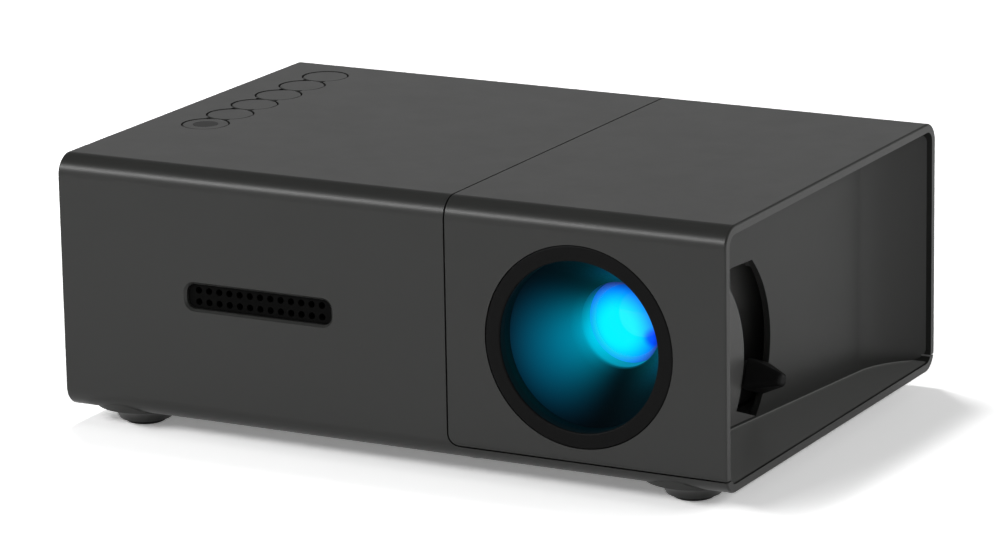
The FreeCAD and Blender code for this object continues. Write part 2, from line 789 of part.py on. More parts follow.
def speaker_grille():
    face_y = FRONT + GRILLE_SINK
    insert = front_slot(0, face_y, FRONT + WALL)
    flange = front_slot(GRILLE_FLANGE, FRONT + WALL, FRONT + WALL + GRILLE_FLANGE_T)
    plate = insert.fuse(flange).removeSplitter()
    across = int((SLOT_W - 2 * GRILLE_HOLE_R) / GRILLE_PITCH)
    holes = []
    for row in range(GRILLE_ROWS):
        z = BASE + SLOT_H + (row - (GRILLE_ROWS - 1) / 2) * GRILLE_PITCH
        for i in range(across):
            x = SLOT_X + (i - (across - 1) / 2) * GRILLE_PITCH
            holes.append(rod(V(x, face_y - OVER, z), Y_AXIS, GRILLE_HOLE_R, WALL + GRILLE_FLANGE_T + OVER))
    return plate.cut(holes)


def speaker_rect(shrink, y):
    z = BASE + SLOT_H
    half_w = SPEAKER_W / 2 - shrink
    half_t = SPEAKER_TALL / 2 - shrink
    corner = SPEAKER_CORNER_R * half_t / (SPEAKER_TALL / 2)
    return outline("y", rect(SLOT_X - half_w, SLOT_X + half_w, z - half_t, z + half_t, corner), y)


def speaker_funnel(skin, y0, y1):
    near = speaker_rect(SPEAKER_RIM + skin, y0)
    far = speaker_rect(CONE_NARROW + SPEAKER_RIM + skin, y1)
    return Part.makeLoft([near, far], True)


def speaker_frame():
    y0 = FRONT + WALL
    block = Part.Face(speaker_rect(0, y0)).extrude(Y_AXIS * SPEAKER_DEEP)
    front_hole = Part.Face(speaker_rect(SPEAKER_RIM, y0)).extrude(Y_AXIS * GRILLE_FLANGE_T)
    funnel = speaker_funnel(0, y0 + GRILLE_FLANGE_T, y0 + SPEAKER_DEEP)
    return block.cut(front_hole.fuse(funnel))


def speaker_cone():
    y0 = FRONT + WALL + GRILLE_FLANGE_T
    y1 = FRONT + WALL + SPEAKER_DEEP
    outer = speaker_funnel(SEAT, y0, y1)
    inner = speaker_funnel(SEAT + CONE_SKIN, y0 - TOUCH, y1 - CONE_SKIN)
    return outer.cut(inner)


def speaker_magnet():
    return rod(V(SLOT_X, FRONT + WALL + SPEAKER_DEEP, BASE + SLOT_H), Y_AXIS, MAGNET_R, MAGNET_T)


# ---------------------------------------------------------------- lens

def lens_bezel():
    inner = BEZEL_R - BEZEL_FACE
    ring = rod(lens_point(0), Y_AXIS, BEZEL_R, WALL).cut(rod(lens_point(0), Y_AXIS, inner, WALL))
    edges = [e for e in ring.Edges if abs(e.BoundBox.YMax - FRONT) < TOUCH]
    return ring.makeFillet(BEZEL_ROUND, edges)


def lens_barrel():
    mouth = BEZEL_R - BEZEL_FACE
    flange_end = WALL + BARREL_FLANGE_T
    profile = [(mouth, WALL), (mouth, CONE_START), (BORE_R, CONE_END), (BORE_R, BARREL_END),
               (BARREL_R, BARREL_END), (BARREL_R, CONE_END + CONE_WALL),
               (mouth + CONE_WALL, CONE_START + CONE_WALL), (mouth + CONE_WALL, flange_end),
               (BARREL_FLANGE_R, flange_end), (BARREL_FLANGE_R, WALL)]
    barrel = turned(lens_point(0), profile)
    gap = CAM_PIN_R + LEVER_GAP
    pin_y = cam_pin_place(0).y
    ahead = CAM_RISE * math.radians(LEVER_UP)
    behind = CAM_RISE * math.radians(LEVER_DOWN)
    return barrel.cut(box(LENS_X, LENS_X + 2 * BARREL_R, pin_y - ahead - gap, pin_y + behind + gap,
                          PIVOT.z - gap, PIVOT.z + gap))


def lens_solid(seat, axis, thick, crown, edge_r, crown_r):
    """Lens on its seat plane, thick along axis, with a crown that bulges the other way."""
    radius = (crown_r ** 2 + crown ** 2) / (2 * crown)
    tip = seat - axis * crown
    dome = Part.makeSphere(radius, tip + axis * radius)
    dome = dome.common(rod(tip, axis, crown_r, crown + TOUCH))
    return fuse(rod(seat, axis, edge_r, thick), dome)


def front_lens():
    seat = lens_point(CARRIER_FRONT + LENS_LIP)
    edge = CARRIER_R - CARRIER_WALL - SEAT
    return lens_solid(seat, Y_AXIS, FRONT_LENS_T, FRONT_LENS_CROWN, edge, LENS_LIP_BORE_R - SLIP)


def rear_lens():
    seat = lens_point(CARRIER_FRONT + CARRIER_LENGTH - REAR_LENS_CROWN)
    edge = CARRIER_R - CARRIER_WALL - SEAT
    return lens_solid(seat, -Y_AXIS, REAR_LENS_T, REAR_LENS_CROWN, edge, LENS_LIP_BORE_R - SLIP)


def cam_pin_place(out):
    return panel_point(LEVER_LOW + out, CAM_R)


def lens_carrier():
    inner = CARRIER_R - CARRIER_WALL
    tube = rod(lens_point(CARRIER_FRONT), Y_AXIS, CARRIER_R, CARRIER_LENGTH)
    tube = tube.cut(rod(lens_point(CARRIER_FRONT + LENS_LIP), Y_AXIS, inner, CARRIER_LENGTH))
    tube = tube.cut(rod(lens_point(CARRIER_FRONT - OVER), Y_AXIS, LENS_LIP_BORE_R, 2 * OVER))
    nearest = CAM_R - CAM_RISE * math.radians(LEVER_UP)
    end = panel_point(-PANEL_T - GUIDE_T, nearest).x - SLIP
    start = V(LENS_X + CAM_PIN_R, cam_pin_place(0).y, PIVOT.z)
    pin = rod(start, X_AXIS, CAM_PIN_R, end - start.x)
    bore = rod(lens_point(CARRIER_FRONT), Y_AXIS, inner, CARRIER_LENGTH)
    return fuse(tube, pin.cut(bore))


# ---------------------------------------------------------------- focus lever

def sector(radius, angle0, angle1, low, high):
    places = [math.radians(a) for a in (angle0, (angle0 + angle1) / 2, angle1)]
    rim = [V(low, radius * math.cos(a), radius * math.sin(a)) for a in places]
    centre = V(low, 0, 0)
    edges = [Part.LineSegment(centre, rim[0]).toShape(), Part.Arc(*rim).toShape(),
             Part.LineSegment(rim[2], centre).toShape()]
    return Part.Face(Part.Wire(edges)).extrude(X_AXIS * (high - low))


def cam_slot(low, high):
    """Spiral slot round the pivot, with the knob's arm at angle 0."""
    half = CAM_PIN_R + CAM_CLEAR
    sides = {1: [], -1: []}
    for i in range(CAM_POINTS):
        turn = math.radians((LEVER_UP + LEVER_DOWN) * i / (CAM_POINTS - 1) - LEVER_DOWN)
        angle = math.radians(LEVER_REST) - turn
        for side in sides:
            radius = CAM_R - CAM_RISE * turn + side * half
            sides[side].append(V(low, radius * math.cos(angle), radius * math.sin(angle)))
    edges = []
    for side in sides:
        curve = Part.BSplineCurve()
        curve.interpolate(sides[side])
        edges.append(curve.toShape())
    for end in (0, -1):
        edges.append(Part.LineSegment(sides[1][end], sides[-1][end]).toShape())
    slot = Part.Face(Part.Wire(Part.__sortEdges__(edges))).extrude(X_AXIS * (high - low))
    for end in (0, -1):
        middle = (sides[1][end] + sides[-1][end]) / 2
        slot = slot.fuse(rod(middle, X_AXIS, half, high - low))
    return slot


def knob_outline(level, centre, length, width):
    corner = KNOB_CORNER_R
    return outline("x", rect(centre - length / 2, centre + length / 2, -width / 2, width / 2, corner), level)


def lever_knob():
    """Four-sided pyramid with a small rounded tip, standing on a thin base."""
    middle = (KNOB_IN_R + KNOB_OUT_R) / 2
    length = KNOB_OUT_R - KNOB_IN_R
    foot = Part.Face(knob_outline(KNOB_LIFT, middle, length, KNOB_W)).extrude(X_AXIS * KNOB_LIFT)
    start = knob_outline(2 * KNOB_LIFT, middle, length, KNOB_W)
    cone = Part.makeLoft([start, knob_outline(KNOB_H, KNOB_TIP_R, KNOB_TIP_L, KNOB_TIP_W)], True)
    edges = [e for e in cone.Edges if e.BoundBox.XMin > KNOB_H - TOUCH]
    return foot.fuse(cone.makeFillet(KNOB_ROUND, edges))


def focus_lever():
    plate_r = CAM_R + CAM_RISE * math.radians(LEVER_DOWN) + CAM_PIN_R + CAM_RIM
    side = math.degrees((CAM_PIN_R + CAM_RIM) / CAM_R)
    low = LEVER_LOW
    high = LEVER_LOW + LEVER_T
    plate = sector(plate_r, LEVER_REST - LEVER_UP - side, LEVER_REST + LEVER_DOWN + side, low, high)
    hub = rod(V(low, 0, 0), X_AXIS, HUB_R, LEVER_T)
    arm = prism("x", rect(HUB_R, STEM_OUT_R, -STEM_W / 2, STEM_W / 2, 0), low, high)
    stem = prism("x", rect(STEM_IN_R, STEM_OUT_R, -STEM_W / 2, STEM_W / 2, 0), low, 2 * KNOB_LIFT)
    lever = plate.fuse([hub, arm, stem, lever_knob()]).removeSplitter()
    lever = lever.cut(cam_slot(low - OVER, high + TOUCH))
    lever = lever.cut(rod(V(low - OVER, 0, 0), X_AXIS, PIVOT_R + RUN, LEVER_T + 2 * OVER))
    lever.rotate(ORIGIN, X_AXIS, -LEVER_REST)
    return on_panel(lever)


def focus_guide():
    low = -PANEL_T - GUIDE_T
    plate = prism("x", rect(GUIDE_FRONT, GUIDE_REAR, GUIDE_LOW, GUIDE_HIGH, OVER), low, -PANEL_T)
    plate = plate.cut(lever_window().cut(guide_side(-3 * PANEL_T, 2 * OVER)))
    sill = FLOOR + WINDOW_SILL - PIVOT.z + SLIP
    pad = prism("x", rect(WINDOW_FRONT + SLIP, SLOT_R, sill, SLOT_TOP - SLIP, 0), -PANEL_T, 0)
    pad = pad.common(rod(V(-PANEL_T, 0, 0), X_AXIS, SLOT_R - SLIP, PANEL_T))
    pad = pad.common(guide_side(-PANEL_T - OVER, OVER))
    seat = rod(V(low - LEVER_GAP, 0, 0), X_AXIS, 2 * PIVOT_R, LEVER_GAP)
    guide = plate.fuse([pad, seat]).removeSplitter()
    guide = guide.cut(rod(V(low - OVER, 0, 0), X_AXIS, PIVOT_R, OVER + GUIDE_T - PIVOT_FLOOR_T))
    return on_panel(guide)


def lever_pivot_screw():
    head_top = LEVER_LOW - SLIP
    shaft_end = -PANEL_T - PIVOT_FLOOR_T
    shaft = rod(V(head_top, 0, 0), X_AXIS, PIVOT_R, shaft_end - head_top)
    head = rod(V(head_top - PIVOT_R, 0, 0), X_AXIS, 2 * PIVOT_R, PIVOT_R)
    return on_panel(shaft.fuse(head).removeSplitter())


# ---------------------------------------------------------------- buttons

def button(i):
    top = TOP + BUTTON_PROUD
    under = top - BUTTON_T
    low = PAD_BOTTOM - STEM_END
    cap = rod(V(BUTTON_X, button_y(i), under), Z_AXIS, BUTTON_R, BUTTON_T)
    rim = [e for e in cap.Edges if e.BoundBox.ZMin > top - TOUCH]
    cap = cap.makeFillet(BUTTON_ROUND, rim)
    solid = fuse(cap, rod(V(BUTTON_X, button_y(i), low), Z_AXIS, STEM_R, under - low))
    if i == 0:
        solid = solid.cut(rod(indicator_place() - Z_AXIS * INDICATOR_T, Z_AXIS, INDICATOR_R + SEAT, WALL))
    return solid


def indicator_place():
    return V(BUTTON_X, button_y(0), TOP + BUTTON_PROUD)


def power_indicator():
    return rod(indicator_place() - Z_AXIS * INDICATOR_T, Z_AXIS, INDICATOR_R, INDICATOR_T)


def button_board():
    half = BUTTON_BOARD_HALF
    low = BUTTON_BOARD_TOP - BUTTON_BOARD_T
    board = box(BUTTON_X - half, BUTTON_X + half, button_y(0) - half, button_y(BUTTON_COUNT - 1) + half,
                low, BUTTON_BOARD_TOP)
    return board.cut([rod(V(BUTTON_X, y, low), Z_AXIS, POST_PIN_R + SEAT, BUTTON_BOARD_T)
                      for y in board_post_ys()])


def button_switches():
    half = SWITCH_SIZE / 2
    switches = []
    for i in range(BUTTON_COUNT):
        middle = V(BUTTON_X, button_y(i), BUTTON_BOARD_TOP)
        base = box(middle.x - half, middle.x + half, middle.y - half, middle.y + half,
                   middle.z, middle.z + SWITCH_BODY_T)
        switches.append(fuse(base, rod(middle, Z_AXIS, SWITCH_DOME_R, SWITCH_T)))
    return group(switches)


# ---------------------------------------------------------------- fan

def fan_screw_places():
    middle = FRONT + FAN_BACK
    reach = FAN_SIZE / 2 - FAN_SCREW_INSET
    return [(middle + a * reach, FAN_Z + b * reach) for a in (-1, 1) for b in (-1, 1)]


def fan_frame():
    middle = FRONT + FAN_BACK
    half = FAN_SIZE / 2
    centre = V(FAN_X, middle, FAN_Z)
    frame = prism("x", rect(middle - half, middle + half, FAN_Z - half, FAN_Z + half, FAN_CORNER_R),
                  FAN_X, FAN_X + FAN_T)
    frame = frame.cut(rod(centre, X_AXIS, FAN_BORE_R, FAN_T))
    plate_x = FAN_X + FAN_T - FAN_PLATE_T
    shaft_x = FAN_X + FAN_TIP_GAP + FAN_CAP_T + SLIP
    added = [rod(V(plate_x, middle, FAN_Z), X_AXIS, FAN_HUB_R, FAN_PLATE_T),
             rod(V(shaft_x, middle, FAN_Z), X_AXIS, FAN_SHAFT_R, plate_x - shaft_x)]
    for angle in FAN_STRUTS:
        strut = box(plate_x, plate_x + FAN_PLATE_T, middle - FAN_STRUT_W / 2, middle + FAN_STRUT_W / 2,
                    FAN_Z + FAN_HUB_R - OVER, FAN_Z + FAN_BORE_R + SEAT)
        strut.rotate(centre, X_AXIS, angle)
        added.append(strut)
    frame = frame.fuse(added)
    holes = [rod(V(FAN_X, y, z), X_AXIS, SCREW_R, FAN_SCREW_L) for y, z in fan_screw_places()]
    return frame.cut(holes).removeSplitter()


def blade_section(radius, twist):
    """Blade's outline at a radius, turned from the fan's axis by the twist."""
    wire = outline("y", rect(-BLADE_T / 2, BLADE_T / 2, -BLADE_CHORD / 2, BLADE_CHORD / 2, 0), radius)
    wire.rotate(ORIGIN, Y_AXIS, twist)
    return wire


def fan_blade(tip):
    root = blade_section(FAN_HUB_R - OVER, BLADE_ROOT_TWIST)
    return Part.makeLoft([root, blade_section(tip, BLADE_TIP_TWIST)], True)


def fan_rotor():
    depth = FAN_T - FAN_PLATE_T - 2 * FAN_TIP_GAP
    start = V(FAN_X + FAN_TIP_GAP, FRONT + FAN_BACK, FAN_Z)
    hub = rod(ORIGIN, Z_AXIS, FAN_HUB_R, depth)
    blades = []
    tip = FAN_BORE_R - FAN_TIP_GAP
    for i in range(FAN_BLADES):
        blade = fan_blade(tip + OVER)
        blade.translate(Z_AXIS * (depth / 2))
        blade.rotate(ORIGIN, Z_AXIS, 360.0 * i / FAN_BLADES)
        blades.append(blade)
    rotor = hub.fuse(blades).common(rod(ORIGIN, Z_AXIS, tip, depth))
    rotor = rotor.cut(rod(V(0, 0, FAN_CAP_T), Z_AXIS, FAN_SHAFT_R + RUN, depth))
    rotor.rotate(ORIGIN, Y_AXIS, 90)
    rotor.translate(start)
    return rotor.removeSplitter()


# ---------------------------------------------------------------- light engine

def engine_housing():
    y0 = FRONT + ENGINE_FRONT
    y1 = FRONT + ENGINE_REAR
    top = FLOOR + ENGINE_H
    shell = box(ENGINE_LEFT, ENGINE_RIGHT, y0, y1, FLOOR, top)
    shell = shell.cut(box(ENGINE_LEFT + ENGINE_WALL, ENGINE_RIGHT - ENGINE_WALL, y0 + ENGINE_WALL,
                          y1 - ENGINE_WALL, ENGINE_FLOOR, top + OVER))
    ears = []
    holes = [rod(lens_point(ENGINE_FRONT - OVER), Y_AXIS, BARREL_R + SEAT, ENGINE_WALL + 2 * OVER),
             led_window()]
    for x, y in engine_ears():
        wall = y0 if y < y0 else y1
        ears.append(rod(V(x, y, STANDOFF_TOP), Z_AXIS, STANDOFF_R, ENGINE_EAR_T))
        ears.append(box(x - STANDOFF_R, x + STANDOFF_R, min(y, wall), max(y, wall), STANDOFF_TOP,
                        STANDOFF_TOP + ENGINE_EAR_T))
        holes.append(rod(V(x, y, STANDOFF_TOP - OVER), Z_AXIS, SCREW_R + SLIP, ENGINE_EAR_T + 2 * OVER))
    return shell.fuse(ears).cut(holes).removeSplitter()


def led_window():
    half = LED_SIZE / 2 + ENGINE_WALL
    return box(ENGINE_LEFT - OVER, ENGINE_LEFT + ENGINE_WALL + OVER, ENGINE_Y - half, ENGINE_Y + half,
               LENS_Z - half, LENS_Z + half)


def engine_cover():
    top = FLOOR + ENGINE_H
    plate = box(ENGINE_LEFT, ENGINE_RIGHT, FRONT + ENGINE_FRONT, FRONT + ENGINE_REAR, top, top + ENGINE_LID_T)
    inset = ENGINE_WALL + SLIP
    lip = box(ENGINE_LEFT + inset, ENGINE_RIGHT - inset, FRONT + ENGINE_FRONT + inset,
              FRONT + ENGINE_REAR - inset, top - ENGINE_LIP_H, top)
    inset = inset + ENGINE_LID_T
    inner = box(ENGINE_LEFT + inset, ENGINE_RIGHT - inset, FRONT + ENGINE_FRONT + inset,
                FRONT + ENGINE_REAR - inset, top - ENGINE_LIP_H, top)
    return fuse(plate, lip.cut(inner))


def channel_plate(x0, x1, height):
    """Plate across the light channel, standing on its floor."""
    inset = ENGINE_WALL + SLIP
    return box(x0, x1, FRONT + ENGINE_FRONT + inset, FRONT + ENGINE_REAR - inset, ENGINE_FLOOR,
               ENGINE_FLOOR + height)


def fold_mirror():
    plate = box(-MIRROR_LEFT * ROOT2, MIRROR_RIGHT * ROOT2, 0, MIRROR_T,
                ENGINE_FLOOR, ENGINE_FLOOR + MIRROR_TALL)
    plate.rotate(ORIGIN, Z_AXIS, -MIRROR_ANGLE)
    plate.translate(V(LENS_X, FRONT + MIRROR_BACK, 0))
    return plate


def fresnel(x):
    return channel_plate(x, x + FRESNEL_T, LCD_TALL)


def lcd_panel():
    return channel_plate(LCD_X, LCD_X + LCD_T, LCD_TALL)


def condenser_holder():
    plate = channel_plate(HOLDER_X, HOLDER_X + HOLDER_T, LCD_TALL)
    return plate.cut(rod(V(HOLDER_X, ENGINE_Y, LENS_Z), X_AXIS, CONDENSER_R + SEAT, HOLDER_T))


def condenser_lens():
    seat = V(HOLDER_X + CONDENSER_EDGE, ENGINE_Y, LENS_Z)
    return lens_solid(seat, -X_AXIS, CONDENSER_EDGE, CONDENSER_CROWN, CONDENSER_R, CONDENSER_R)


def led_board():
    half = LED_BOARD_SIZE / 2
    return box(ENGINE_LEFT - LED_BOARD_T, ENGINE_LEFT, ENGINE_Y - half, ENGINE_Y + half,
               LENS_Z - half, LENS_Z + half)


def led_emitter():
    half = LED_SIZE / 2
    start = V(ENGINE_LEFT, ENGINE_Y, LENS_Z)
    base = box(start.x, start.x + LED_BASE_T, start.y - half, start.y + half, start.z - half, start.z + half)
    dome = rod(start, X_AXIS, LED_DOME_R, LED_T)
    edges = [e for e in dome.Edges if e.BoundBox.XMin > start.x + LED_T - TOUCH]
    return fuse(base, dome.makeFillet(LED_ROUND, edges))


def heat_sink():
    x1 = ENGINE_LEFT - LED_BOARD_T
    y0 = ENGINE_Y - SINK_W / 2
    z0 = FLOOR + SINK_LIFT
    base = box(x1 - SINK_BASE_T, x1, y0, y0 + SINK_W, z0, z0 + SINK_TALL)
    step = (SINK_W - SINK_FIN_T) / (SINK_FINS - 1)
    fins = [box(x1 - SINK_BASE_T - SINK_FIN_L, x1 - SINK_BASE_T, y0 + i * step, y0 + i * step + SINK_FIN_T,
                z0, z0 + SINK_TALL) for i in range(SINK_FINS)]
    return base.fuse(fins).removeSplitter()


# ---------------------------------------------------------------- boards

def main_board():
    board = box(MAIN_BOARD_L, MAIN_BOARD_R, FRONT + MAIN_BOARD_FRONT, FRONT + MAIN_BOARD_REAR,
                STANDOFF_TOP, BOARD_TOP)
    return board.cut([rod(V(x, y, STANDOFF_TOP), Z_AXIS, SCREW_R + SLIP, BOARD_T)
                      for x, y in main_board_holes()])


def main_board_parts():
    """The largest components, spread evenly along the board."""
    middle = FRONT + (MAIN_BOARD_FRONT + MAIN_BOARD_REAR) / 2
    sizes = (V(COIL_L, COIL_W, COIL_TALL), V(PROCESSOR_SIZE, PROCESSOR_SIZE, PROCESSOR_T),
             V(MEMORY_L, MEMORY_W, MEMORY_T), V(CAPACITOR_L, CAPACITOR_W, CAPACITOR_TALL))
    step = (MAIN_BOARD_R - MAIN_BOARD_L) / (len(sizes) + 1)
    parts = []
    for i, size in enumerate(sizes):
        x = MAIN_BOARD_L + step * (i + 1)
        parts.append(box(x - size.x / 2, x + size.x / 2, middle - size.y / 2, middle + size.y / 2,
                         BOARD_TOP, BOARD_TOP + size.z))
    return group(parts)


def io_board():
    return box(IO_BOARD_L, IO_BOARD_R, FRONT + IO_BOARD_FRONT, FRONT + IO_BOARD_REAR, STANDOFF_TOP, BOARD_TOP)


def board_ribbon():
    y0 = FRONT + MAIN_BOARD_REAR - 3 * RIBBON_T
    y1 = FRONT + IO_BOARD_FRONT + 3 * RIBBON_T
    z0 = FLOOR
    z1 = STANDOFF_TOP
    t = RIBBON_T
    points = [(y0, z1, 0), (y0, z0, 2 * t), (y1, z0, 2 * t), (y1, z1, 0),
              (y1 - t, z1, 0), (y1 - t, z0 + t, t), (y0 + t, z0 + t, t), (y0 + t, z1, 0)]
    return prism("x", points, RIBBON_X - RIBBON_W / 2, RIBBON_X + RIBBON_W / 2)


# ---------------------------------------------------------------- sockets

def sockets():
    """Every rear socket's place, width and height."""
    return [(POWER_X, POWER_SIZE, POWER_SIZE), (AV_X, AV_SIZE, AV_SIZE), (CARD_X, CARD_W, CARD_TALL),
            (USB_X, USB_W, USB_TALL), (HDMI_X, HDMI_W, HDMI_TALL)]


def socket_block(x, width, height, depth):
    half = width / 2
    return box(x - half, x + half, SOCKET_MOUTH - depth, SOCKET_MOUTH, BOARD_TOP, BOARD_TOP + height)


def socket_outline(x, width, height, inset, chamfer):
    """Corners of a socket seen from the rear, its lower corners cut off if there is a chamfer."""
    left = x - width / 2 + inset
    right = x + width / 2 - inset
    low = BOARD_TOP + inset
    high = BOARD_TOP + height - inset
    if chamfer == 0:
        return rect(left, right, low, high, 0)
    return [(left, low + chamfer, 0), (left + chamfer, low, 0), (right - chamfer, low, 0),
            (right, low + chamfer, 0), (right, high, 0), (left, high, 0)]


def socket_shell(x, width, height, depth, chamfer):
    """Thin metal shell on the board, open to the rear."""
    shell = prism("y", socket_outline(x, width, height, 0, chamfer), SOCKET_MOUTH - depth, SOCKET_MOUTH)
    hollow = socket_outline(x, width, height, SOCKET_WALL, chamfer)
    return shell.cut(prism("y", hollow, SOCKET_MOUTH - depth + SOCKET_BACK_T, SOCKET_MOUTH + OVER))


def contact_bar(x, width, depth, low, thick):
    """Tongue that carries a socket's contacts."""
    half = width / 2 - CONTACT_INSET
    low = BOARD_TOP + low
    return box(x - half, x + half, SOCKET_MOUTH - depth, SOCKET_MOUTH - CONTACT_INSET, low, low + thick)


def hdmi_socket():
    shell = socket_shell(HDMI_X, HDMI_W, HDMI_TALL, SOCKET_DEEP, HDMI_CHAMFER)
    return fuse(shell, contact_bar(HDMI_X, HDMI_W, SOCKET_DEEP, HDMI_CONTACT_H, HDMI_CONTACT_T))


def usb_socket():
    shell = socket_shell(USB_X, USB_W, USB_TALL, SOCKET_DEEP, 0)
    return fuse(shell, contact_bar(USB_X, USB_W, SOCKET_DEEP, USB_CONTACT_H, USB_CONTACT_T))


def card_socket():
    shell = socket_shell(CARD_X, CARD_W, CARD_TALL, CARD_DEEP, 0)
    return fuse(shell, contact_bar(CARD_X, CARD_W, CARD_DEEP, CARD_CONTACT_H, CARD_CONTACT_T))


def av_jack():
    body = socket_block(AV_X, AV_SIZE, AV_SIZE, SOCKET_DEEP)
    inner_end = V(AV_X, SOCKET_MOUTH - AV_BORE_L, BOARD_TOP + AV_SIZE / 2)
    return body.cut(rod(inner_end, Y_AXIS, AV_BORE_R, AV_BORE_L))


def power_jack():
    body = socket_block(POWER_X, POWER_SIZE, POWER_SIZE, SOCKET_DEEP)
    inner_end = V(POWER_X, SOCKET_MOUTH - POWER_BORE_L, BOARD_TOP + POWER_SIZE / 2)
    body = body.cut(rod(inner_end, Y_AXIS, POWER_BORE_R, POWER_BORE_L))
    return fuse(body, rod(inner_end, Y_AXIS, POWER_PIN_R, POWER_BORE_L - POWER_PIN_SETBACK))


# ---------------------------------------------------------------- screws and tripod thread

def screw(head, axis, length):
    """Pan-head screw: the head's seat is at the given point, the shank runs along axis."""
    shank = rod(head, axis, SCREW_R - SEAT, length)
    top = rod(head - axis * SCREW_HEAD_T, axis, SCREW_HEAD_R, SCREW_HEAD_T)
    return shank.fuse(top).removeSplitter()


def case_screws():
    return group([screw(V(x, y, BASE + SCREW_HEAD_T), Z_AXIS, CAP_SCREW_L) for x, y in cap_screw_places()])


def engine_screws():
    length = ENGINE_EAR_T + STANDOFF_H - OVER
    return group([screw(V(x, y, STANDOFF_TOP + ENGINE_EAR_T), -Z_AXIS, length) for x, y in engine_ears()])


def board_screws():
    length = BOARD_T + STANDOFF_H - OVER
    return group([screw(V(x, y, BOARD_TOP), -Z_AXIS, length) for x, y in main_board_holes()])


def fan_screws():
    start = LEFT + SIDE_SINK + FAN_SCREW_SINK
    return group([screw(V(start, y, z), X_AXIS, FAN_SCREW_L) for y, z in fan_screw_places()])


def tripod_insert():
    start = V(TRIPOD_X, FRONT + TRIPOD_BACK, BASE)
    insert = rod(start, Z_AXIS, TRIPOD_INSERT_R, TRIPOD_DEEP)
    return insert.cut(rod(start, Z_AXIS, TRIPOD_BORE_R, TRIPOD_DEEP))


# ---------------------------------------------------------------- all nodes

def nodes():
    parts = {
        "main_case": main_case(),
        "lens_side_cap": lens_side_cap(),
        "left_side_grille": left_side_grille(),
        "rear_port_panel": rear_port_panel(),
        "speaker_grille": speaker_grille(),
        "speaker_frame": speaker_frame(),
        "speaker_cone": speaker_cone(),
        "speaker_magnet": speaker_magnet(),
        "lens_bezel": lens_bezel(),
        "lens_barrel": lens_barrel(),
        "lens_carrier": lens_carrier(),
        "front_lens": front_lens(),
        "rear_lens": rear_lens(),
        "focus_guide": focus_guide(),
        "focus_lever": focus_lever(),
        "lever_pivot_screw": lever_pivot_screw(),
        "power_indicator": power_indicator(),
        "button_board": button_board(),
        "button_switches": button_switches(),
        "fan_frame": fan_frame(),
        "fan_rotor": fan_rotor(),
        "fan_screws": fan_screws(),
        "engine_housing": engine_housing(),
        "engine_cover": engine_cover(),
        "fold_mirror": fold_mirror(),
        "fresnel_front": fresnel(LCD_X + FRESNEL_FAR),
        "lcd_panel": lcd_panel(),
        "fresnel_rear": fresnel(LCD_X - FRESNEL_NEAR + LCD_T),
        "condenser_holder": condenser_holder(),
        "condenser_lens": condenser_lens(),
        "led_board": led_board(),
        "led_emitter": led_emitter(),
        "heat_sink": heat_sink(),
        "main_board": main_board(),
        "main_board_parts": main_board_parts(),
        "io_board": io_board(),
        "board_ribbon": board_ribbon(),
        "hdmi_socket": hdmi_socket(),
        "usb_socket": usb_socket(),
        "card_socket": card_socket(),
        "av_jack": av_jack(),
        "power_jack": power_jack(),
        "tripod_insert": tripod_insert(),
        "case_screws": case_screws(),
        "engine_screws": engine_screws(),
        "board_screws": board_screws(),
    }
    for i, name in enumerate(BUTTON_NAMES):
        parts[name + "_button"] = button(i)
    for (side, end), (x, y) in foot_places().items():
        parts["foot_" + end + "_" + side] = rubber_foot(x, y)
    return parts


def main():
    os.makedirs("parts", exist_ok=True)
    for name, shape in nodes().items():
        shape.exportStep("parts/" + name + ".step")
        print(name, len(shape.Solids), "solids", shape.isValid(), round(shape.Volume, 1))


main()
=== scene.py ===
import bpy
import bmesh
import json
import math
from mathutils import Matrix, Vector


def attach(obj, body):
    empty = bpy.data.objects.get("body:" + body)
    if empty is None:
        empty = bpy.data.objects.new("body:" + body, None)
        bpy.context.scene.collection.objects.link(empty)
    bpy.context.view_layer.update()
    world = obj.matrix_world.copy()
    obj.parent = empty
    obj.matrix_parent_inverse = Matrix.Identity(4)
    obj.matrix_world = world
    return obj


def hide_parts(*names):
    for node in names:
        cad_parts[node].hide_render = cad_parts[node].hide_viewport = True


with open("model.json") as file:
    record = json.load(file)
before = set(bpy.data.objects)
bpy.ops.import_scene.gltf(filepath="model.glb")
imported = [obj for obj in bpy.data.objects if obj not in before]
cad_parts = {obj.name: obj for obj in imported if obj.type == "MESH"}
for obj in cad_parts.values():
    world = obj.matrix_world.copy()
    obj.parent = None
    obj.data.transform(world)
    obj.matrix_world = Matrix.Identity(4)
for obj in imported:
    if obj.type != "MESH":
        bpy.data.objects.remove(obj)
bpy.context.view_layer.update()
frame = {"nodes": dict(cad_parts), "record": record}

MM = 0.001


# ---------------------------------------------------------------- node helpers

NOISE_MIDDLE = (0.3, 0.7)


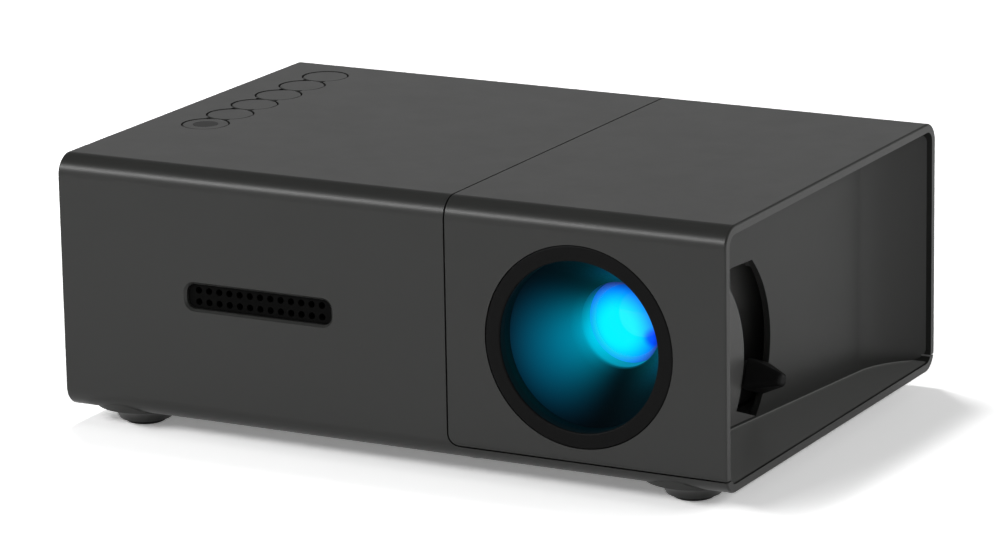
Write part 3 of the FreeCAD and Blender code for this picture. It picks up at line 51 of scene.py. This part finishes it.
class Tree:
    """Adds and links the shader nodes of one material."""

    def __init__(self, name):
        self.material = bpy.data.materials.new(name)
        self.material.use_nodes = True
        self.nodes = self.material.node_tree.nodes
        self.links = self.material.node_tree.links
        self.nodes.clear()
        self.out = self.nodes.new("ShaderNodeOutputMaterial")
        self.coords = self.nodes.new("ShaderNodeTexCoord").outputs["Object"]

    def add(self, kind, values=None, **settings):
        node = self.nodes.new("ShaderNode" + kind)
        for key, value in settings.items():
            setattr(node, key, value)
        for key, value in (values or {}).items():
            self.feed(node.inputs[key], value)
        return node

    def feed(self, socket, value):
        if isinstance(value, bpy.types.NodeSocket):
            self.links.new(value, socket)
        else:
            socket.default_value = value

    def math(self, operation, a, b=0.0):
        return self.add("Math", {0: a, 1: b}, operation=operation).outputs[0]

    def times(self, a, b):
        return self.math("MULTIPLY", a, b)

    def plus(self, a, b):
        return self.math("ADD", a, b)

    def minus(self, a, b):
        return self.math("SUBTRACT", a, b)

    def above(self, value, limit):
        return self.math("GREATER_THAN", value, limit)

    def below(self, value, limit):
        return self.math("LESS_THAN", value, limit)

    def distance(self, a, b):
        return self.math("SQRT", self.plus(self.times(a, a), self.times(b, b)))

    def place(self):
        """X, Y and Z of the shaded point in the part's frame, in metres."""
        return self.add("SeparateXYZ", {0: self.coords}).outputs

    def noise(self, scale, detail=2.0, rough=0.5, vector=None):
        values = {"Vector": vector or self.coords, "Scale": scale, "Detail": detail, "Roughness": rough}
        return self.add("TexNoise", values).outputs["Fac"]

    def span(self, value, from_low, from_high, to_low, to_high, smooth=False):
        kind = "SMOOTHSTEP" if smooth else "LINEAR"
        values = {"Value": value, "From Min": from_low, "From Max": from_high,
                  "To Min": to_low, "To Max": to_high}
        return self.add("MapRange", values, interpolation_type=kind).outputs["Result"]

    def vary(self, noise, low, high):
        """Spreads the middle of a noise between two values."""
        return self.span(noise, *NOISE_MIDDLE, low, high)

    def blend(self, amount, low, high):
        node = self.nodes.new("ShaderNodeMix")
        node.data_type = "RGBA"
        for socket, value in ((0, amount), (6, low), (7, high)):
            self.feed(node.inputs[socket], value)
        return node.outputs[2]

    def bump(self, height, distance):
        return self.add("Bump", {"Height": height, "Distance": distance, "Strength": 1.0}).outputs["Normal"]

    def surface(self, shader):
        self.links.new(shader.outputs[0], self.out.inputs["Surface"])
        return self.material

    def principled(self, **values):
        """A finished material from the shader's values; an underscore in a key stands for a space."""
        named = {key.replace("_", " "): value for key, value in values.items()}
        return self.surface(self.add("BsdfPrincipled", named))


def rgb(r, g, b, factor=1.0):
    return (r * factor, g * factor, b * factor, 1.0)


def grey(level):
    return (level, level, level)


# ---------------------------------------------------------------- plastic, metal, glass and board

# Noise scales count features per metre. A noise's detail and roughness follow its scale.
GRAIN_DETAIL = (3.0, 0.6)
GRAIN_MIDDLE = (0.35, 0.65)
GRAIN_SHARE = 0.15
GRAIN_LIGHT = 1.15
DRIFT_NOISE = (45.0, 3.0)
DRIFT_SHARE = 0.06
HANDLED_NOISE = (160.0, 4.0, 0.65)
HANDLED_SWING = 0.012


def plastic(name, color, rough, grain_mm=0.18, grain_depth=0.006, specular=0.5, paint=None):
    """Moulded plastic: fine moulded texture, slow colour drift and a slightly uneven sheen."""
    tree = Tree(name)
    grain = tree.noise(1.0 / (grain_mm * MM), *GRAIN_DETAIL)
    drift = tree.noise(*DRIFT_NOISE)
    handled = tree.noise(*HANDLED_NOISE)
    base = tree.blend(drift, rgb(*color, 1 - DRIFT_SHARE), rgb(*color, 1 + DRIFT_SHARE))
    base = tree.blend(tree.span(grain, *GRAIN_MIDDLE, 0.0, GRAIN_SHARE), base, rgb(*color, GRAIN_LIGHT))
    if paint:
        base = paint(tree, base)
    return tree.principled(
        Base_Color=base,
        Roughness=tree.vary(handled, rough - HANDLED_SWING, rough + HANDLED_SWING),
        Specular_IOR_Level=specular,
        Normal=tree.bump(grain, grain_depth * MM),
    )


# Painted light: this box marks the floor of the finger recess, which is painted lighter for the light that
# falls on it.
PAINTED_LIGHT_LOW = (45.0 * MM, -41.2 * MM, 4.7 * MM)
PAINTED_LIGHT_HIGH = (62.5 * MM, 41.2 * MM, 5.1 * MM)
PAINTED_LIGHT_COLOR = rgb(0.20, 0.202, 0.197)


def recess_floor_painted_light(tree, base):
    """Painted light: paints the floor of the finger recess a lighter grey than the rest of the shell,
    standing in for light that falls on it.
    """
    painted_light_mask = 1.0
    for part, low, high in zip(tree.place(), PAINTED_LIGHT_LOW, PAINTED_LIGHT_HIGH):
        above = tree.above(part, low)
        painted_light_mask = tree.times(painted_light_mask, tree.times(above, tree.below(part, high)))
    return tree.blend(painted_light_mask, base, PAINTED_LIGHT_COLOR)


PIVOT = Vector((48.31 * MM, -20.0 * MM, 18.6 * MM))
PANEL_TURN = math.radians(6.9)
PANEL_SKIN = 0.3 * MM
PLATE_COLOR = rgb(0.10, 0.10, 0.098)


def lever_plate(tree, base):
    """Paints the part of the lever that lies behind the turned side panel dark grey."""
    x, y, _ = tree.place()
    across = tree.times(tree.minus(x, PIVOT.x), math.cos(PANEL_TURN))
    along = tree.times(tree.minus(y, PIVOT.y), math.sin(PANEL_TURN))
    behind = tree.below(tree.minus(across, along), -PANEL_SKIN)
    return tree.blend(behind, base, PLATE_COLOR)


LINE_MM = 0.3
LINE_DETAIL = (4.0, 0.6)
LINE_DEPTH = 0.01 * MM
CLOUD_NOISE = (120.0, 3.0)
CLOUD_SHADES = (0.82, 1.05)
SMOOTHER = 0.08
ROUGHER = 0.12


def metal(name, color, rough, stretch=(1.0, 1.0, 1.0)):
    """Metal with drawn lines along the axis that is stretched least."""
    tree = Tree(name)
    mapped = tree.add("Mapping", {"Vector": tree.coords, "Scale": stretch}).outputs[0]
    lines = tree.noise(1.0 / (LINE_MM * MM), *LINE_DETAIL, mapped)
    cloud = tree.noise(*CLOUD_NOISE)
    return tree.principled(
        Base_Color=tree.blend(cloud, *(rgb(*color, shade) for shade in CLOUD_SHADES)),
        Metallic=1.0,
        Roughness=tree.vary(lines, rough - SMOOTHER, rough + ROUGHER),
        Normal=tree.bump(lines, LINE_DEPTH),
    )


CLEAR_GRAIN = 1500.0
CLEAR_DARKER = 0.95
CLEAR_ROUGHER = 0.03


def clear_glass(name, tint, rough):
    """Clear glass or sheet with a faint unevenness in tint and polish."""
    tree = Tree(name)
    grain = tree.noise(CLEAR_GRAIN)
    return tree.principled(
        Base_Color=tree.blend(grain, rgb(*tint, CLEAR_DARKER), rgb(*tint)),
        Roughness=tree.vary(grain, rough, rough + CLEAR_ROUGHER),
        Transmission_Weight=1.0,
        IOR=1.5,
    )


TRACK_SCALE = 420.0
TRACK_WIDTH = 0.06
TRACK_DEPTH = 0.03 * MM
MASK_GRAIN = 3000.0
MASK_GREEN = rgb(0.006, 0.075, 0.03)
TRACK_GREEN = rgb(0.03, 0.16, 0.06)
GRAIN_GREEN = rgb(0.01, 0.10, 0.04)


def circuit_board():
    """Green solder mask over faint copper tracks."""
    tree = Tree("circuit_board")
    bricks = tree.add("TexBrick", {"Vector": tree.coords, "Scale": TRACK_SCALE, "Mortar Size": TRACK_WIDTH})
    tracks = bricks.outputs["Fac"]
    grain = tree.noise(MASK_GRAIN)
    base = tree.blend(tracks, MASK_GREEN, TRACK_GREEN)
    return tree.principled(
        Base_Color=tree.blend(grain, base, GRAIN_GREEN),
        Roughness=tree.vary(grain, 0.3, 0.4),
        Normal=tree.bump(tracks, TRACK_DEPTH),
    )


# ---------------------------------------------------------------- the lens and its hood, with the lamp's light painted on as glow
# Depths run back from the front face and radii out from the lens's axis, in millimetres.

FRONT_Y = -42.5 * MM
LENS = Vector((36.4 * MM, FRONT_Y, 25.5 * MM))
CONE_MOUTH = 3.5
CONE_MOUTH_R = 14.4
CONE_END = 15.6
BORE_R = 7.25
LENS_LIP = 18.5

SPOT_OFFSET = (-1.7, -1.3)
SPOT_CORE_R = 2.6
SPOT_BLUE_R = 6.0
SPOT_EDGE_R = 8.2
SPOT_RED = 0.002
SPOT_GREEN = 0.9
SPOT_BLUE_LEFT = 0.04

DEEP_OFFSET = (4.6, -2.6)
DEEP_CORE_R = 0.8
DEEP_EDGE_R = 2.2
DEEP_GREEN_LEFT = 0.30

LIP_DEPTH = 0.6
LIP_GLOW = 0.9

# Painted reflection on the hood: where and how strongly the lamp's teal light is painted on as glow.
LIT_SIDE = (-0.94, -0.342)
LIT_SIDE_POWER = 3.0
WALL_SKIN = 0.3
MOUTH_CLEAR = 0.05
CONE_TURN = CONE_END - 2
MOUTH_GLOW = 0.04
CONE_GLOW = 0.33
BORE_GLOW = 0.37
STEP_GLOW = 0.34
STEP_FROM = CONE_END - 0.4
STEP_TO = CONE_END + 0.8
MOUTH_TEAL = rgb(0.0, 0.50, 1.0)
LIP_TEAL = rgb(0.0, 0.72, 1.0)
COAT_GRAIN = 900.0
TUBE_GRAIN = 2600.0
TUBE_DEPTH = 0.002 * MM


def lens_place(tree, offset=(0.0, 0.0)):
    """Sideways, depth and height from the lens, and distance from its axis, in millimetres."""
    parts = tree.place()
    x = tree.times(tree.minus(parts[0], LENS.x + offset[0] * MM), 1 / MM)
    depth = tree.times(tree.minus(parts[1], LENS.y), 1 / MM)
    z = tree.times(tree.minus(parts[2], LENS.z + offset[1] * MM), 1 / MM)
    return x, depth, z, tree.distance(x, z)


def spot_color(tree):
    """The lamp seen through the lens, painted on as glow: a cyan core that turns azure, with one deep blue
    patch.
    """
    radius = lens_place(tree, SPOT_OFFSET)[3]
    green = tree.times(tree.span(radius, SPOT_CORE_R, SPOT_EDGE_R, 1.0, 0.0, smooth=True), SPOT_GREEN)
    blue = tree.span(radius, SPOT_BLUE_R, SPOT_EDGE_R, 1.0, SPOT_BLUE_LEFT, smooth=True)
    patch = lens_place(tree, DEEP_OFFSET)[3]
    deep = tree.span(patch, DEEP_CORE_R, DEEP_EDGE_R, DEEP_GREEN_LEFT, 1.0, smooth=True)
    green = tree.times(green, deep)
    return tree.add("CombineColor", {0: SPOT_RED, 1: green, 2: blue}).outputs[0]


def painted_glow_lens():
    """Coated glass with the lamp behind it painted on as glow."""
    tree = Tree("painted_glow_lens")
    grain = tree.noise(COAT_GRAIN)
    return tree.principled(
        Base_Color=tree.blend(grain, rgb(0.0, 0.02, 0.03), rgb(0.0, 0.03, 0.05)),
        Roughness=tree.vary(grain, 0.05, 0.08),
        Specular_IOR_Level=0.2,
        # Painted glow: the lamp's light is painted on the lens as emission.
        Emission_Color=spot_color(tree),
        Emission_Strength=1.0,
    )


def painted_glow_rim():
    """Black carrier tube with the lamp's light painted as glow on its front lip."""
    tree = Tree("painted_glow_rim")
    _, depth, _, radius = lens_place(tree)
    # Painted light: the front lip inside the bore is painted with the lamp's light as emission.
    lip = tree.below(depth, LENS_LIP + LIP_DEPTH)
    lip = tree.times(lip, tree.below(radius, BORE_R))
    grain = tree.noise(TUBE_GRAIN)
    return tree.principled(
        Base_Color=tree.blend(grain, rgb(*grey(0.004)), rgb(*grey(0.006))),
        Roughness=tree.vary(grain, 0.4, 0.5),
        Emission_Color=spot_color(tree),
        Emission_Strength=tree.times(lip, LIP_GLOW),
    )


def painted_glow_cone():
    """Black hood with the lamp's teal light painted as glow along the side that faces it: a painted
    reflection.
    """
    tree = Tree("painted_glow_cone")
    x, depth, z, radius = lens_place(tree)
    wall = tree.span(depth, CONE_MOUTH, CONE_END, CONE_MOUTH_R, BORE_R)
    inside = tree.below(tree.minus(radius, wall), WALL_SKIN)
    # Painted reflection: teal glow on the side facing the lens and on the low side near the lens.
    across = tree.times(x, LIT_SIDE[0])
    facing = tree.math("DIVIDE", tree.plus(across, tree.times(z, LIT_SIDE[1])), radius)
    facing = tree.math("POWER", tree.math("MAXIMUM", facing, 0.0), LIT_SIDE_POWER)
    along = tree.plus(tree.span(depth, CONE_MOUTH, CONE_TURN, MOUTH_GLOW, CONE_GLOW),
                      tree.span(depth, CONE_TURN, LENS_LIP, 0.0, BORE_GLOW))
    low = tree.math("DIVIDE", tree.math("MAXIMUM", tree.times(z, -1.0), 0.0), radius)
    step = tree.times(low, tree.span(depth, STEP_FROM, STEP_TO, 0.0, STEP_GLOW))
    level = tree.plus(tree.times(facing, along), step)
    level = tree.times(level, tree.above(depth, CONE_MOUTH + MOUTH_CLEAR))
    glow = tree.blend(tree.span(depth, CONE_MOUTH, LENS_LIP, 0.0, 1.0), MOUTH_TEAL, LIP_TEAL)
    grain = tree.noise(TUBE_GRAIN)
    return tree.principled(
        Base_Color=tree.blend(grain, rgb(0.001, 0.0015, 0.002), rgb(0.002, 0.003, 0.0035)),
        Roughness=tree.vary(grain, 0.34, 0.42),
        Specular_IOR_Level=0.08,
        Emission_Color=glow,
        Emission_Strength=tree.times(level, inside),
        Normal=tree.bump(grain, TUBE_DEPTH),
    )


# ---------------------------------------------------------------- what each node wears

SHELL_SHEEN = dict(rough=0.33, specular=0.375)
PLASTICS = {
    # The shell's recess floor carries painted light.
    "charcoal_shell": dict(color=(0.026, 0.0265, 0.0252), grain_depth=0.004, paint=recess_floor_painted_light,
                           **SHELL_SHEEN),
    "button_plastic": dict(color=(0.0245, 0.025, 0.0238), grain_mm=0.12, **SHELL_SHEEN),
    "black_plastic": dict(color=grey(0.008), rough=0.5, specular=0.3),
    "bezel_black": dict(color=grey(0.006), rough=0.45, specular=0.07),
    "lever_black": dict(color=grey(0.007), rough=0.5, specular=0.15, paint=lever_plate),
    "grille_black": dict(color=(0.0028, 0.0028, 0.0027), rough=0.7, specular=0.04),
    "grey_plastic": dict(color=(0.085, 0.085, 0.083), rough=0.4),
    "engine_grey": dict(color=(0.22, 0.22, 0.215), rough=0.5),
    "tongue_black": dict(color=(0.014, 0.014, 0.015), rough=0.4),
    "smoked": dict(color=grey(0.004), rough=0.3, grain_depth=0.001, specular=0.06),
    "rubber": dict(color=grey(0.012), rough=0.75, grain_mm=0.3, grain_depth=0.02, specular=0.25),
    "component_black": dict(color=grey(0.012), rough=0.5),
    "paper_black": dict(color=grey(0.02), rough=0.85, grain_mm=0.5, grain_depth=0.05),
    "ribbon_film": dict(color=(0.62, 0.60, 0.55), rough=0.35),
}
METALS = {
    "contact_gold": dict(color=(0.83, 0.62, 0.28), rough=0.28),
    "mirror_coat": dict(color=(0.9, 0.91, 0.92), rough=0.1),
    "plated_steel": dict(color=(0.56, 0.56, 0.55), rough=0.3, stretch=(1.0, 0.1, 1.0)),
    "screw_steel": dict(color=(0.10, 0.10, 0.105), rough=0.4),
    "aluminium": dict(color=(0.72, 0.73, 0.74), rough=0.35, stretch=(1.0, 1.0, 0.05)),
    "brass": dict(color=(0.72, 0.52, 0.22), rough=0.25, stretch=(1.0, 1.0, 0.2)),
}
GLASSES = {
    "lens_glass": dict(tint=(0.9, 0.97, 0.98), rough=0.02),
    "clear_sheet": dict(tint=(0.85, 0.92, 0.95), rough=0.12),
}
NODE_LOOK = {
    "lens_bezel": "bezel_black",
    "lens_barrel": "painted_glow_cone",
    "lens_carrier": "painted_glow_rim",
    "front_lens": "painted_glow_lens",
    "focus_lever": "lever_black",
    "engine_housing": "engine_grey",
    "speaker_grille": "grille_black",
    "power_indicator": "smoked",
}
SLOT_LOOK = {"gloss_black": "painted_glow_cone", "board_laminate": "circuit_board"}


def make_materials():
    materials = {
        "painted_glow_lens": painted_glow_lens(),
        "painted_glow_cone": painted_glow_cone(),
        "painted_glow_rim": painted_glow_rim(),
        "circuit_board": circuit_board(),
    }
    for make, looks in ((plastic, PLASTICS), (metal, METALS), (clear_glass, GLASSES)):
        for name, look in looks.items():
            materials[name] = make(name, **look)
    return materials


def dress_nodes():
    slots = {part["node"]: part["material_slot"] for part in frame["record"]["subparts"]}
    for name, obj in frame["nodes"].items():
        look = NODE_LOOK.get(name) or SLOT_LOOK.get(slots[name]) or slots[name]
        obj.data.materials.clear()
        obj.data.materials.append(MATERIALS[look])


# ---------------------------------------------------------------- loops and pieces

ROUND_STEPS = 32
SHARP_EDGE = math.radians(35)


def ring(mesh, radius, height, count=ROUND_STEPS):
    """A closed loop of vertices round the Z axis."""
    turns = [math.tau * step / count for step in range(count)]
    return [mesh.verts.new((radius * math.cos(turn), radius * math.sin(turn), height)) for turn in turns]


def cross_loop(mesh, reach, half, height):
    """The outline of a cross with four arms of one width."""
    loop = []
    for quarter in range(4):
        for x, y in ((reach, -half), (reach, half), (half, half)):
            spot = Matrix.Rotation(math.pi / 2 * quarter, 3, "Z") @ Vector((x, y, height))
            loop.append(mesh.verts.new(spot))
    return loop


def join_loops(mesh, loops):
    """Faces between each loop and the next one."""
    for lower, upper in zip(loops, loops[1:]):
        for step in range(len(lower)):
            mesh.faces.new((lower[step - 1], lower[step], upper[step], upper[step - 1]))


def loop_edges(mesh, loop):
    """The edges round a loop, made where there are none yet."""
    pairs = [(loop[step - 1], loop[step]) for step in range(len(loop))]
    return [mesh.edges.get(pair) or mesh.edges.new(pair) for pair in pairs]


def add_piece(name, mesh, look, slot, *nodes):
    """Makes a piece on the fixed body, which stands for the CAD nodes that are named."""
    bmesh.ops.recalc_face_normals(mesh, faces=mesh.faces)
    data = bpy.data.meshes.new(name)
    mesh.to_mesh(data)
    mesh.free()
    data.materials.append(MATERIALS[look])
    data.shade_smooth()
    data.set_sharp_from_angle(angle=SHARP_EDGE)
    piece = bpy.data.objects.new(name, data)
    bpy.context.scene.collection.objects.link(piece)
    if nodes:
        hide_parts(*nodes)
    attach(piece, "body")


# ---------------------------------------------------------------- screws with a cross recess

CASE_SCREW_X = 15.5 * MM
CASE_SCREW_YS = (-36.5 * MM, 36.5 * MM)
CASE_SCREW_SEAT = 4.6 * MM
CASE_SHANK = 9.0 * MM
FAN_SCREW_SEAT = -61.4 * MM
FAN_SCREW_YS = (-5.4 * MM, 24.4 * MM)
FAN_SCREW_ZS = (8.75 * MM, 38.55 * MM)
FAN_SHANK = 5.0 * MM

HEAD_R = 2.1 * MM
HEAD_TALL = 1.2 * MM
HEAD_PROFILE = ((1.0, 0.0), (1.0, 0.5), (0.93, 0.85), (0.8, 1.0))
MOUTH_REACH = HEAD_R * 0.56
MOUTH_HALF = HEAD_R * 0.14
CROSS_REACH = HEAD_R * 0.46
CROSS_HALF = HEAD_R * 0.10
CROSS_FLOOR = HEAD_TALL * 0.25
SHANK_R = 1.1 * MM
ROOT_R = SHANK_R * 0.8
TIP_R = ROOT_R * 0.4
SCREW_PITCH = 0.7 * MM
PLAIN_NECK = 0.4 * MM


def thread_loops(mesh, low, high):
    """Rings that rise and fall between the root and the crest of a screw's thread."""
    loops = []
    for turn in range(int((high - low) / SCREW_PITCH)):
        loops.append(ring(mesh, ROOT_R, low + turn * SCREW_PITCH))
        loops.append(ring(mesh, SHANK_R, low + (turn + 0.5) * SCREW_PITCH))
    return loops + [ring(mesh, ROOT_R, high)]


def add_screw(mesh, place, shank):
    """A pan head with a cross recess on a grooved shank; place turns its +Z to the head's side."""
    start = len(mesh.verts)
    loops = [ring(mesh, TIP_R, -shank)]
    loops += thread_loops(mesh, ROOT_R - shank, -PLAIN_NECK)
    loops.append(ring(mesh, ROOT_R, 0.0))
    loops += [ring(mesh, HEAD_R * out, HEAD_TALL * up) for out, up in HEAD_PROFILE]
    join_loops(mesh, loops)
    mesh.faces.new(loops[0])
    mouth = cross_loop(mesh, MOUTH_REACH, MOUTH_HALF, HEAD_TALL)
    floor = cross_loop(mesh, CROSS_REACH, CROSS_HALF, CROSS_FLOOR)
    rims = loop_edges(mesh, loops[-1]) + loop_edges(mesh, mouth)
    bmesh.ops.triangle_fill(mesh, use_beauty=True, edges=rims)
    join_loops(mesh, [floor, mouth])
    mesh.faces.new(floor)
    mesh.verts.ensure_lookup_table()
    bmesh.ops.transform(mesh, matrix=place, verts=mesh.verts[start:])


def make_screws():
    """Two screws up into the case and four through the fan's corners, each group one piece."""
    down = Matrix.Rotation(math.pi, 4, "X")
    leftward = Matrix.Rotation(-math.pi / 2, 4, "Y")
    case_seats = [(CASE_SCREW_X, y, CASE_SCREW_SEAT) for y in CASE_SCREW_YS]
    fan_seats = [(FAN_SCREW_SEAT, y, z) for y in FAN_SCREW_YS for z in FAN_SCREW_ZS]
    groups = (("case_screws", case_seats, down, CASE_SHANK), ("fan_screws", fan_seats, leftward, FAN_SHANK))
    for node, seats, turn, shank in groups:
        mesh = bmesh.new()
        for seat in seats:
            add_screw(mesh, Matrix.Translation(seat) @ turn, shank)
        add_piece(node + "_cross", mesh, "screw_steel", "screw_steel", node)


# ---------------------------------------------------------------- tripod insert

INSERT_LOW = 3.4 * MM
INSERT_HIGH = 11.4 * MM
INSERT_R = 4.4 * MM
INSERT_CHAMFER = 0.2 * MM
INSERT_BORE_R = 2.6 * MM
GROOVE = 0.5 * MM
GROOVES = 6
INSERT_STEPS = 64


def make_tripod_insert():
    """The brass insert with the grooves of its quarter-inch thread, as one outline turned round."""
    pitch = (INSERT_HIGH - INSERT_LOW - GROOVE) / GROOVES
    groove_r = INSERT_BORE_R + GROOVE
    outline = [(INSERT_R - INSERT_CHAMFER, INSERT_LOW), (INSERT_R, INSERT_LOW + INSERT_CHAMFER),
               (INSERT_R, INSERT_HIGH), (groove_r, INSERT_HIGH)]
    for turn in range(GROOVES, 0, -1):
        outline.append((INSERT_BORE_R, INSERT_LOW + turn * pitch))
        outline.append((groove_r, INSERT_LOW + (turn - 0.5) * pitch))
    outline += [(INSERT_BORE_R, INSERT_LOW + GROOVE), (groove_r, INSERT_LOW)]
    mesh = bmesh.new()
    loops = [ring(mesh, radius, height, INSERT_STEPS) for radius, height in outline]
    join_loops(mesh, loops + [loops[0]])
    add_piece("tripod_insert_thread", mesh, "brass", "brass", "tripod_insert")


# ---------------------------------------------------------------- tongues and contacts, in millimetres

TONGUE_BACK = 32.2
TONGUE_FRONT = 40.7
TONGUE_SKIN = 0.05
TONGUE_BEVEL = 0.08
CONTACT_BACK = TONGUE_BACK + 1.0
CONTACT_FRONT = TONGUE_FRONT - 0.3
CONTACT_HALF_T = 0.04
CONTACT_BEVEL = 0.015
CONTACT_SHARE = 0.28
TONGUES = {
    "hdmi": dict(left=-7.8, right=4.8, low=13.6, high=14.4, above=10, below=9),
    "usb": dict(left=-23.2, right=-12.4, low=13.5, high=15.1, above=0, below=4),
}


def add_block(mesh, low, high, bevel):
    """A block with softened edges between two corners."""
    fresh = bmesh.ops.create_cube(mesh, size=1.0)["verts"]
    size = Vector(high) - Vector(low)
    middle = (Vector(high) + Vector(low)) / 2
    place = Matrix.Translation(middle * MM) @ Matrix.Diagonal((*(size * MM), 1.0))
    bmesh.ops.transform(mesh, matrix=place, verts=fresh)
    edges = {edge for vert in fresh for edge in vert.link_edges}
    bmesh.ops.bevel(mesh, geom=list(edges), offset=bevel * MM, segments=2, profile=0.5, affect="EDGES")


def make_tongue(name, left, right, low, high, above, below):
    """A socket's dark tongue, and its gilt contacts above and below."""
    mesh = bmesh.new()
    top = high + TONGUE_SKIN
    bottom = low - TONGUE_SKIN
    add_block(mesh, (left - TONGUE_SKIN, TONGUE_BACK, bottom),
              (right + TONGUE_SKIN, TONGUE_FRONT + TONGUE_SKIN, top), TONGUE_BEVEL)
    add_piece(name + "_tongue", mesh, "tongue_black", "component_black")
    mesh = bmesh.new()
    for count, z in ((above, top), (below, bottom)):
        for number in range(count):
            pitch = (right - left) / count
            x = left + (number + 0.5) * pitch
            reach = pitch * CONTACT_SHARE
            add_block(mesh, (x - reach, CONTACT_BACK, z - CONTACT_HALF_T),
                      (x + reach, CONTACT_FRONT, z + CONTACT_HALF_T), CONTACT_BEVEL)
    add_piece(name + "_contacts", mesh, "contact_gold", "brass")


# ---------------------------------------------------------------- floor, world, lamps and camera

FLOOR_HALF = 6
FLOOR_GLOW = 0.20
FLOOR_FADE = (0.45, 1.2)
FLOOR_GAIN = 1.7
PAPER_SPECK = 8.0
PAPER_SHADES = (0.90, 0.91)

SKY_HEIGHTS = (0.22, 0.42)
HORIZON = 0.54
ZENITH = 0.08

AIM = Vector((0, 0, 20 * MM))
LAMPS = {
    "front_strip": dict(place=(-0.50, -0.72, 0.55), width=0.9, height=0.14, radiance=14.5, mirrored=True),
    "top_key": dict(place=(-0.22, 0.22, 1.00), width=0.16, height=0.16, radiance=38.0, mirrored=False),
    "right_box": dict(place=(1.05, 0.10, 0.62), width=0.9, height=0.40, radiance=4.0, mirrored=False),
}

CAMERA_AZIMUTH = math.radians(28.184)
CAMERA_ELEVATION = math.radians(14.734)
CAMERA_ROLL = math.radians(-0.985)
CAMERA_PLACE = (0.38725, -0.72359, 0.23950)
CAMERA_LENS = 176.407
CAMERA_SENSOR = 36.0
CAMERA_NEAR = 0.01


def make_floor():
    """White paper that the camera sees as pure white outside the shadow, and that is clear from below."""
    mesh = bpy.data.meshes.new("floor")
    corners = [(x * FLOOR_HALF, y * FLOOR_HALF, 0) for x, y in ((-1, -1), (1, -1), (1, 1), (-1, 1))]
    mesh.from_pydata(corners, [], [(0, 1, 2, 3)])
    floor = bpy.data.objects.new("floor", mesh)
    bpy.context.scene.collection.objects.link(floor)
    tree = Tree("floor")
    rays = tree.nodes.new("ShaderNodeLightPath").outputs
    camera_ray = rays["Is Camera Ray"]
    seen = tree.math("MAXIMUM", camera_ray,
                     tree.math("MAXIMUM", rays["Is Transmission Ray"], rays["Is Glossy Ray"]))
    speck = tree.noise(PAPER_SPECK)
    paper = tree.blend(speck, *(rgb(*grey(shade)) for shade in PAPER_SHADES))
    shown = tree.blend(camera_ray, paper, rgb(*grey(FLOOR_GAIN)))
    diffuse = tree.add("BsdfDiffuse", {"Color": shown})
    x, y, _ = tree.place()
    far = tree.times(camera_ray, tree.span(tree.distance(x, y), *FLOOR_FADE, 0.0, 1.0))
    level = tree.plus(tree.times(seen, FLOOR_GLOW), far)
    glow = tree.add("Emission", {"Color": rgb(1, 1, 1), "Strength": level})
    both = tree.add("AddShader", {0: diffuse.outputs[0], 1: glow.outputs[0]})
    from_below = tree.add("NewGeometry").outputs["Backfacing"]
    clear = tree.add("BsdfTransparent").outputs[0]
    paper_or_clear = tree.add("MixShader", {0: from_below, 1: both.outputs[0], 2: clear})
    mesh.materials.append(tree.surface(paper_or_clear))


def make_world():
    """Bright round the horizon and dark overhead; the camera and clear parts see white all round."""
    world = bpy.data.worlds.new("studio")
    bpy.context.scene.world = world
    world.use_nodes = True
    nodes = world.node_tree.nodes
    links = world.node_tree.links
    shade = nodes["Background"]
    shade.inputs["Color"].default_value = rgb(1, 1, 1)
    height = nodes.new("ShaderNodeSeparateXYZ")
    links.new(nodes.new("ShaderNodeTexCoord").outputs["Generated"], height.inputs[0])
    sky = nodes.new("ShaderNodeMapRange")
    for name, value in zip(("From Min", "From Max", "To Min", "To Max"), (*SKY_HEIGHTS, HORIZON, ZENITH)):
        sky.inputs[name].default_value = value
    links.new(height.outputs[2], sky.inputs["Value"])
    rays = nodes.new("ShaderNodeLightPath").outputs
    level = sky.outputs["Result"]
    for ray in ("Is Camera Ray", "Is Transmission Ray"):
        larger = nodes.new("ShaderNodeMath")
        larger.operation = "MAXIMUM"
        links.new(level, larger.inputs[0])
        links.new(rays[ray], larger.inputs[1])
        level = larger.outputs[0]
    links.new(level, shade.inputs["Strength"])


def soft_lamp(name, place, width, height, radiance, mirrored):
    """A soft box aimed at the object, which shows in its gloss only where mirrored is set."""
    lamp = bpy.data.lights.new(name, "AREA")
    lamp.shape = "RECTANGLE"
    lamp.size = width
    lamp.size_y = height
    lamp.energy = math.pi * width * height * radiance
    obj = bpy.data.objects.new(name, lamp)
    obj.location = place
    obj.rotation_euler = (AIM - Vector(place)).to_track_quat("-Z", "Y").to_euler()
    obj.visible_camera = False
    obj.visible_glossy = mirrored
    bpy.context.scene.collection.objects.link(obj)


def make_camera():
    """The photograph's own view."""
    level = math.cos(CAMERA_ELEVATION)
    back = Vector((math.sin(CAMERA_AZIMUTH) * level, -math.cos(CAMERA_AZIMUTH) * level,
                   math.sin(CAMERA_ELEVATION)))
    right = Vector((0, 0, 1)).cross(back).normalized()
    up = back.cross(right)
    x_axis = math.cos(CAMERA_ROLL) * right + math.sin(CAMERA_ROLL) * up
    y_axis = -math.sin(CAMERA_ROLL) * right + math.cos(CAMERA_ROLL) * up
    data = bpy.data.cameras.new("camera")
    data.sensor_width = CAMERA_SENSOR
    data.lens = CAMERA_LENS
    data.clip_start = CAMERA_NEAR
    camera = bpy.data.objects.new("camera", data)
    turn = Matrix((x_axis, y_axis, back)).transposed().to_4x4()
    camera.matrix_world = Matrix.Translation(CAMERA_PLACE) @ turn
    bpy.context.scene.collection.objects.link(camera)
    bpy.context.scene.camera = camera


# ---------------------------------------------------------------- the scene

MATERIALS = make_materials()
dress_nodes()
make_screws()
make_tripod_insert()
for name, sizes in TONGUES.items():
    make_tongue(name, **sizes)
make_floor()
make_world()
for name, lamp in LAMPS.items():
    soft_lamp(name, **lamp)
make_camera()
bpy.context.scene.view_settings.view_transform = "Standard"
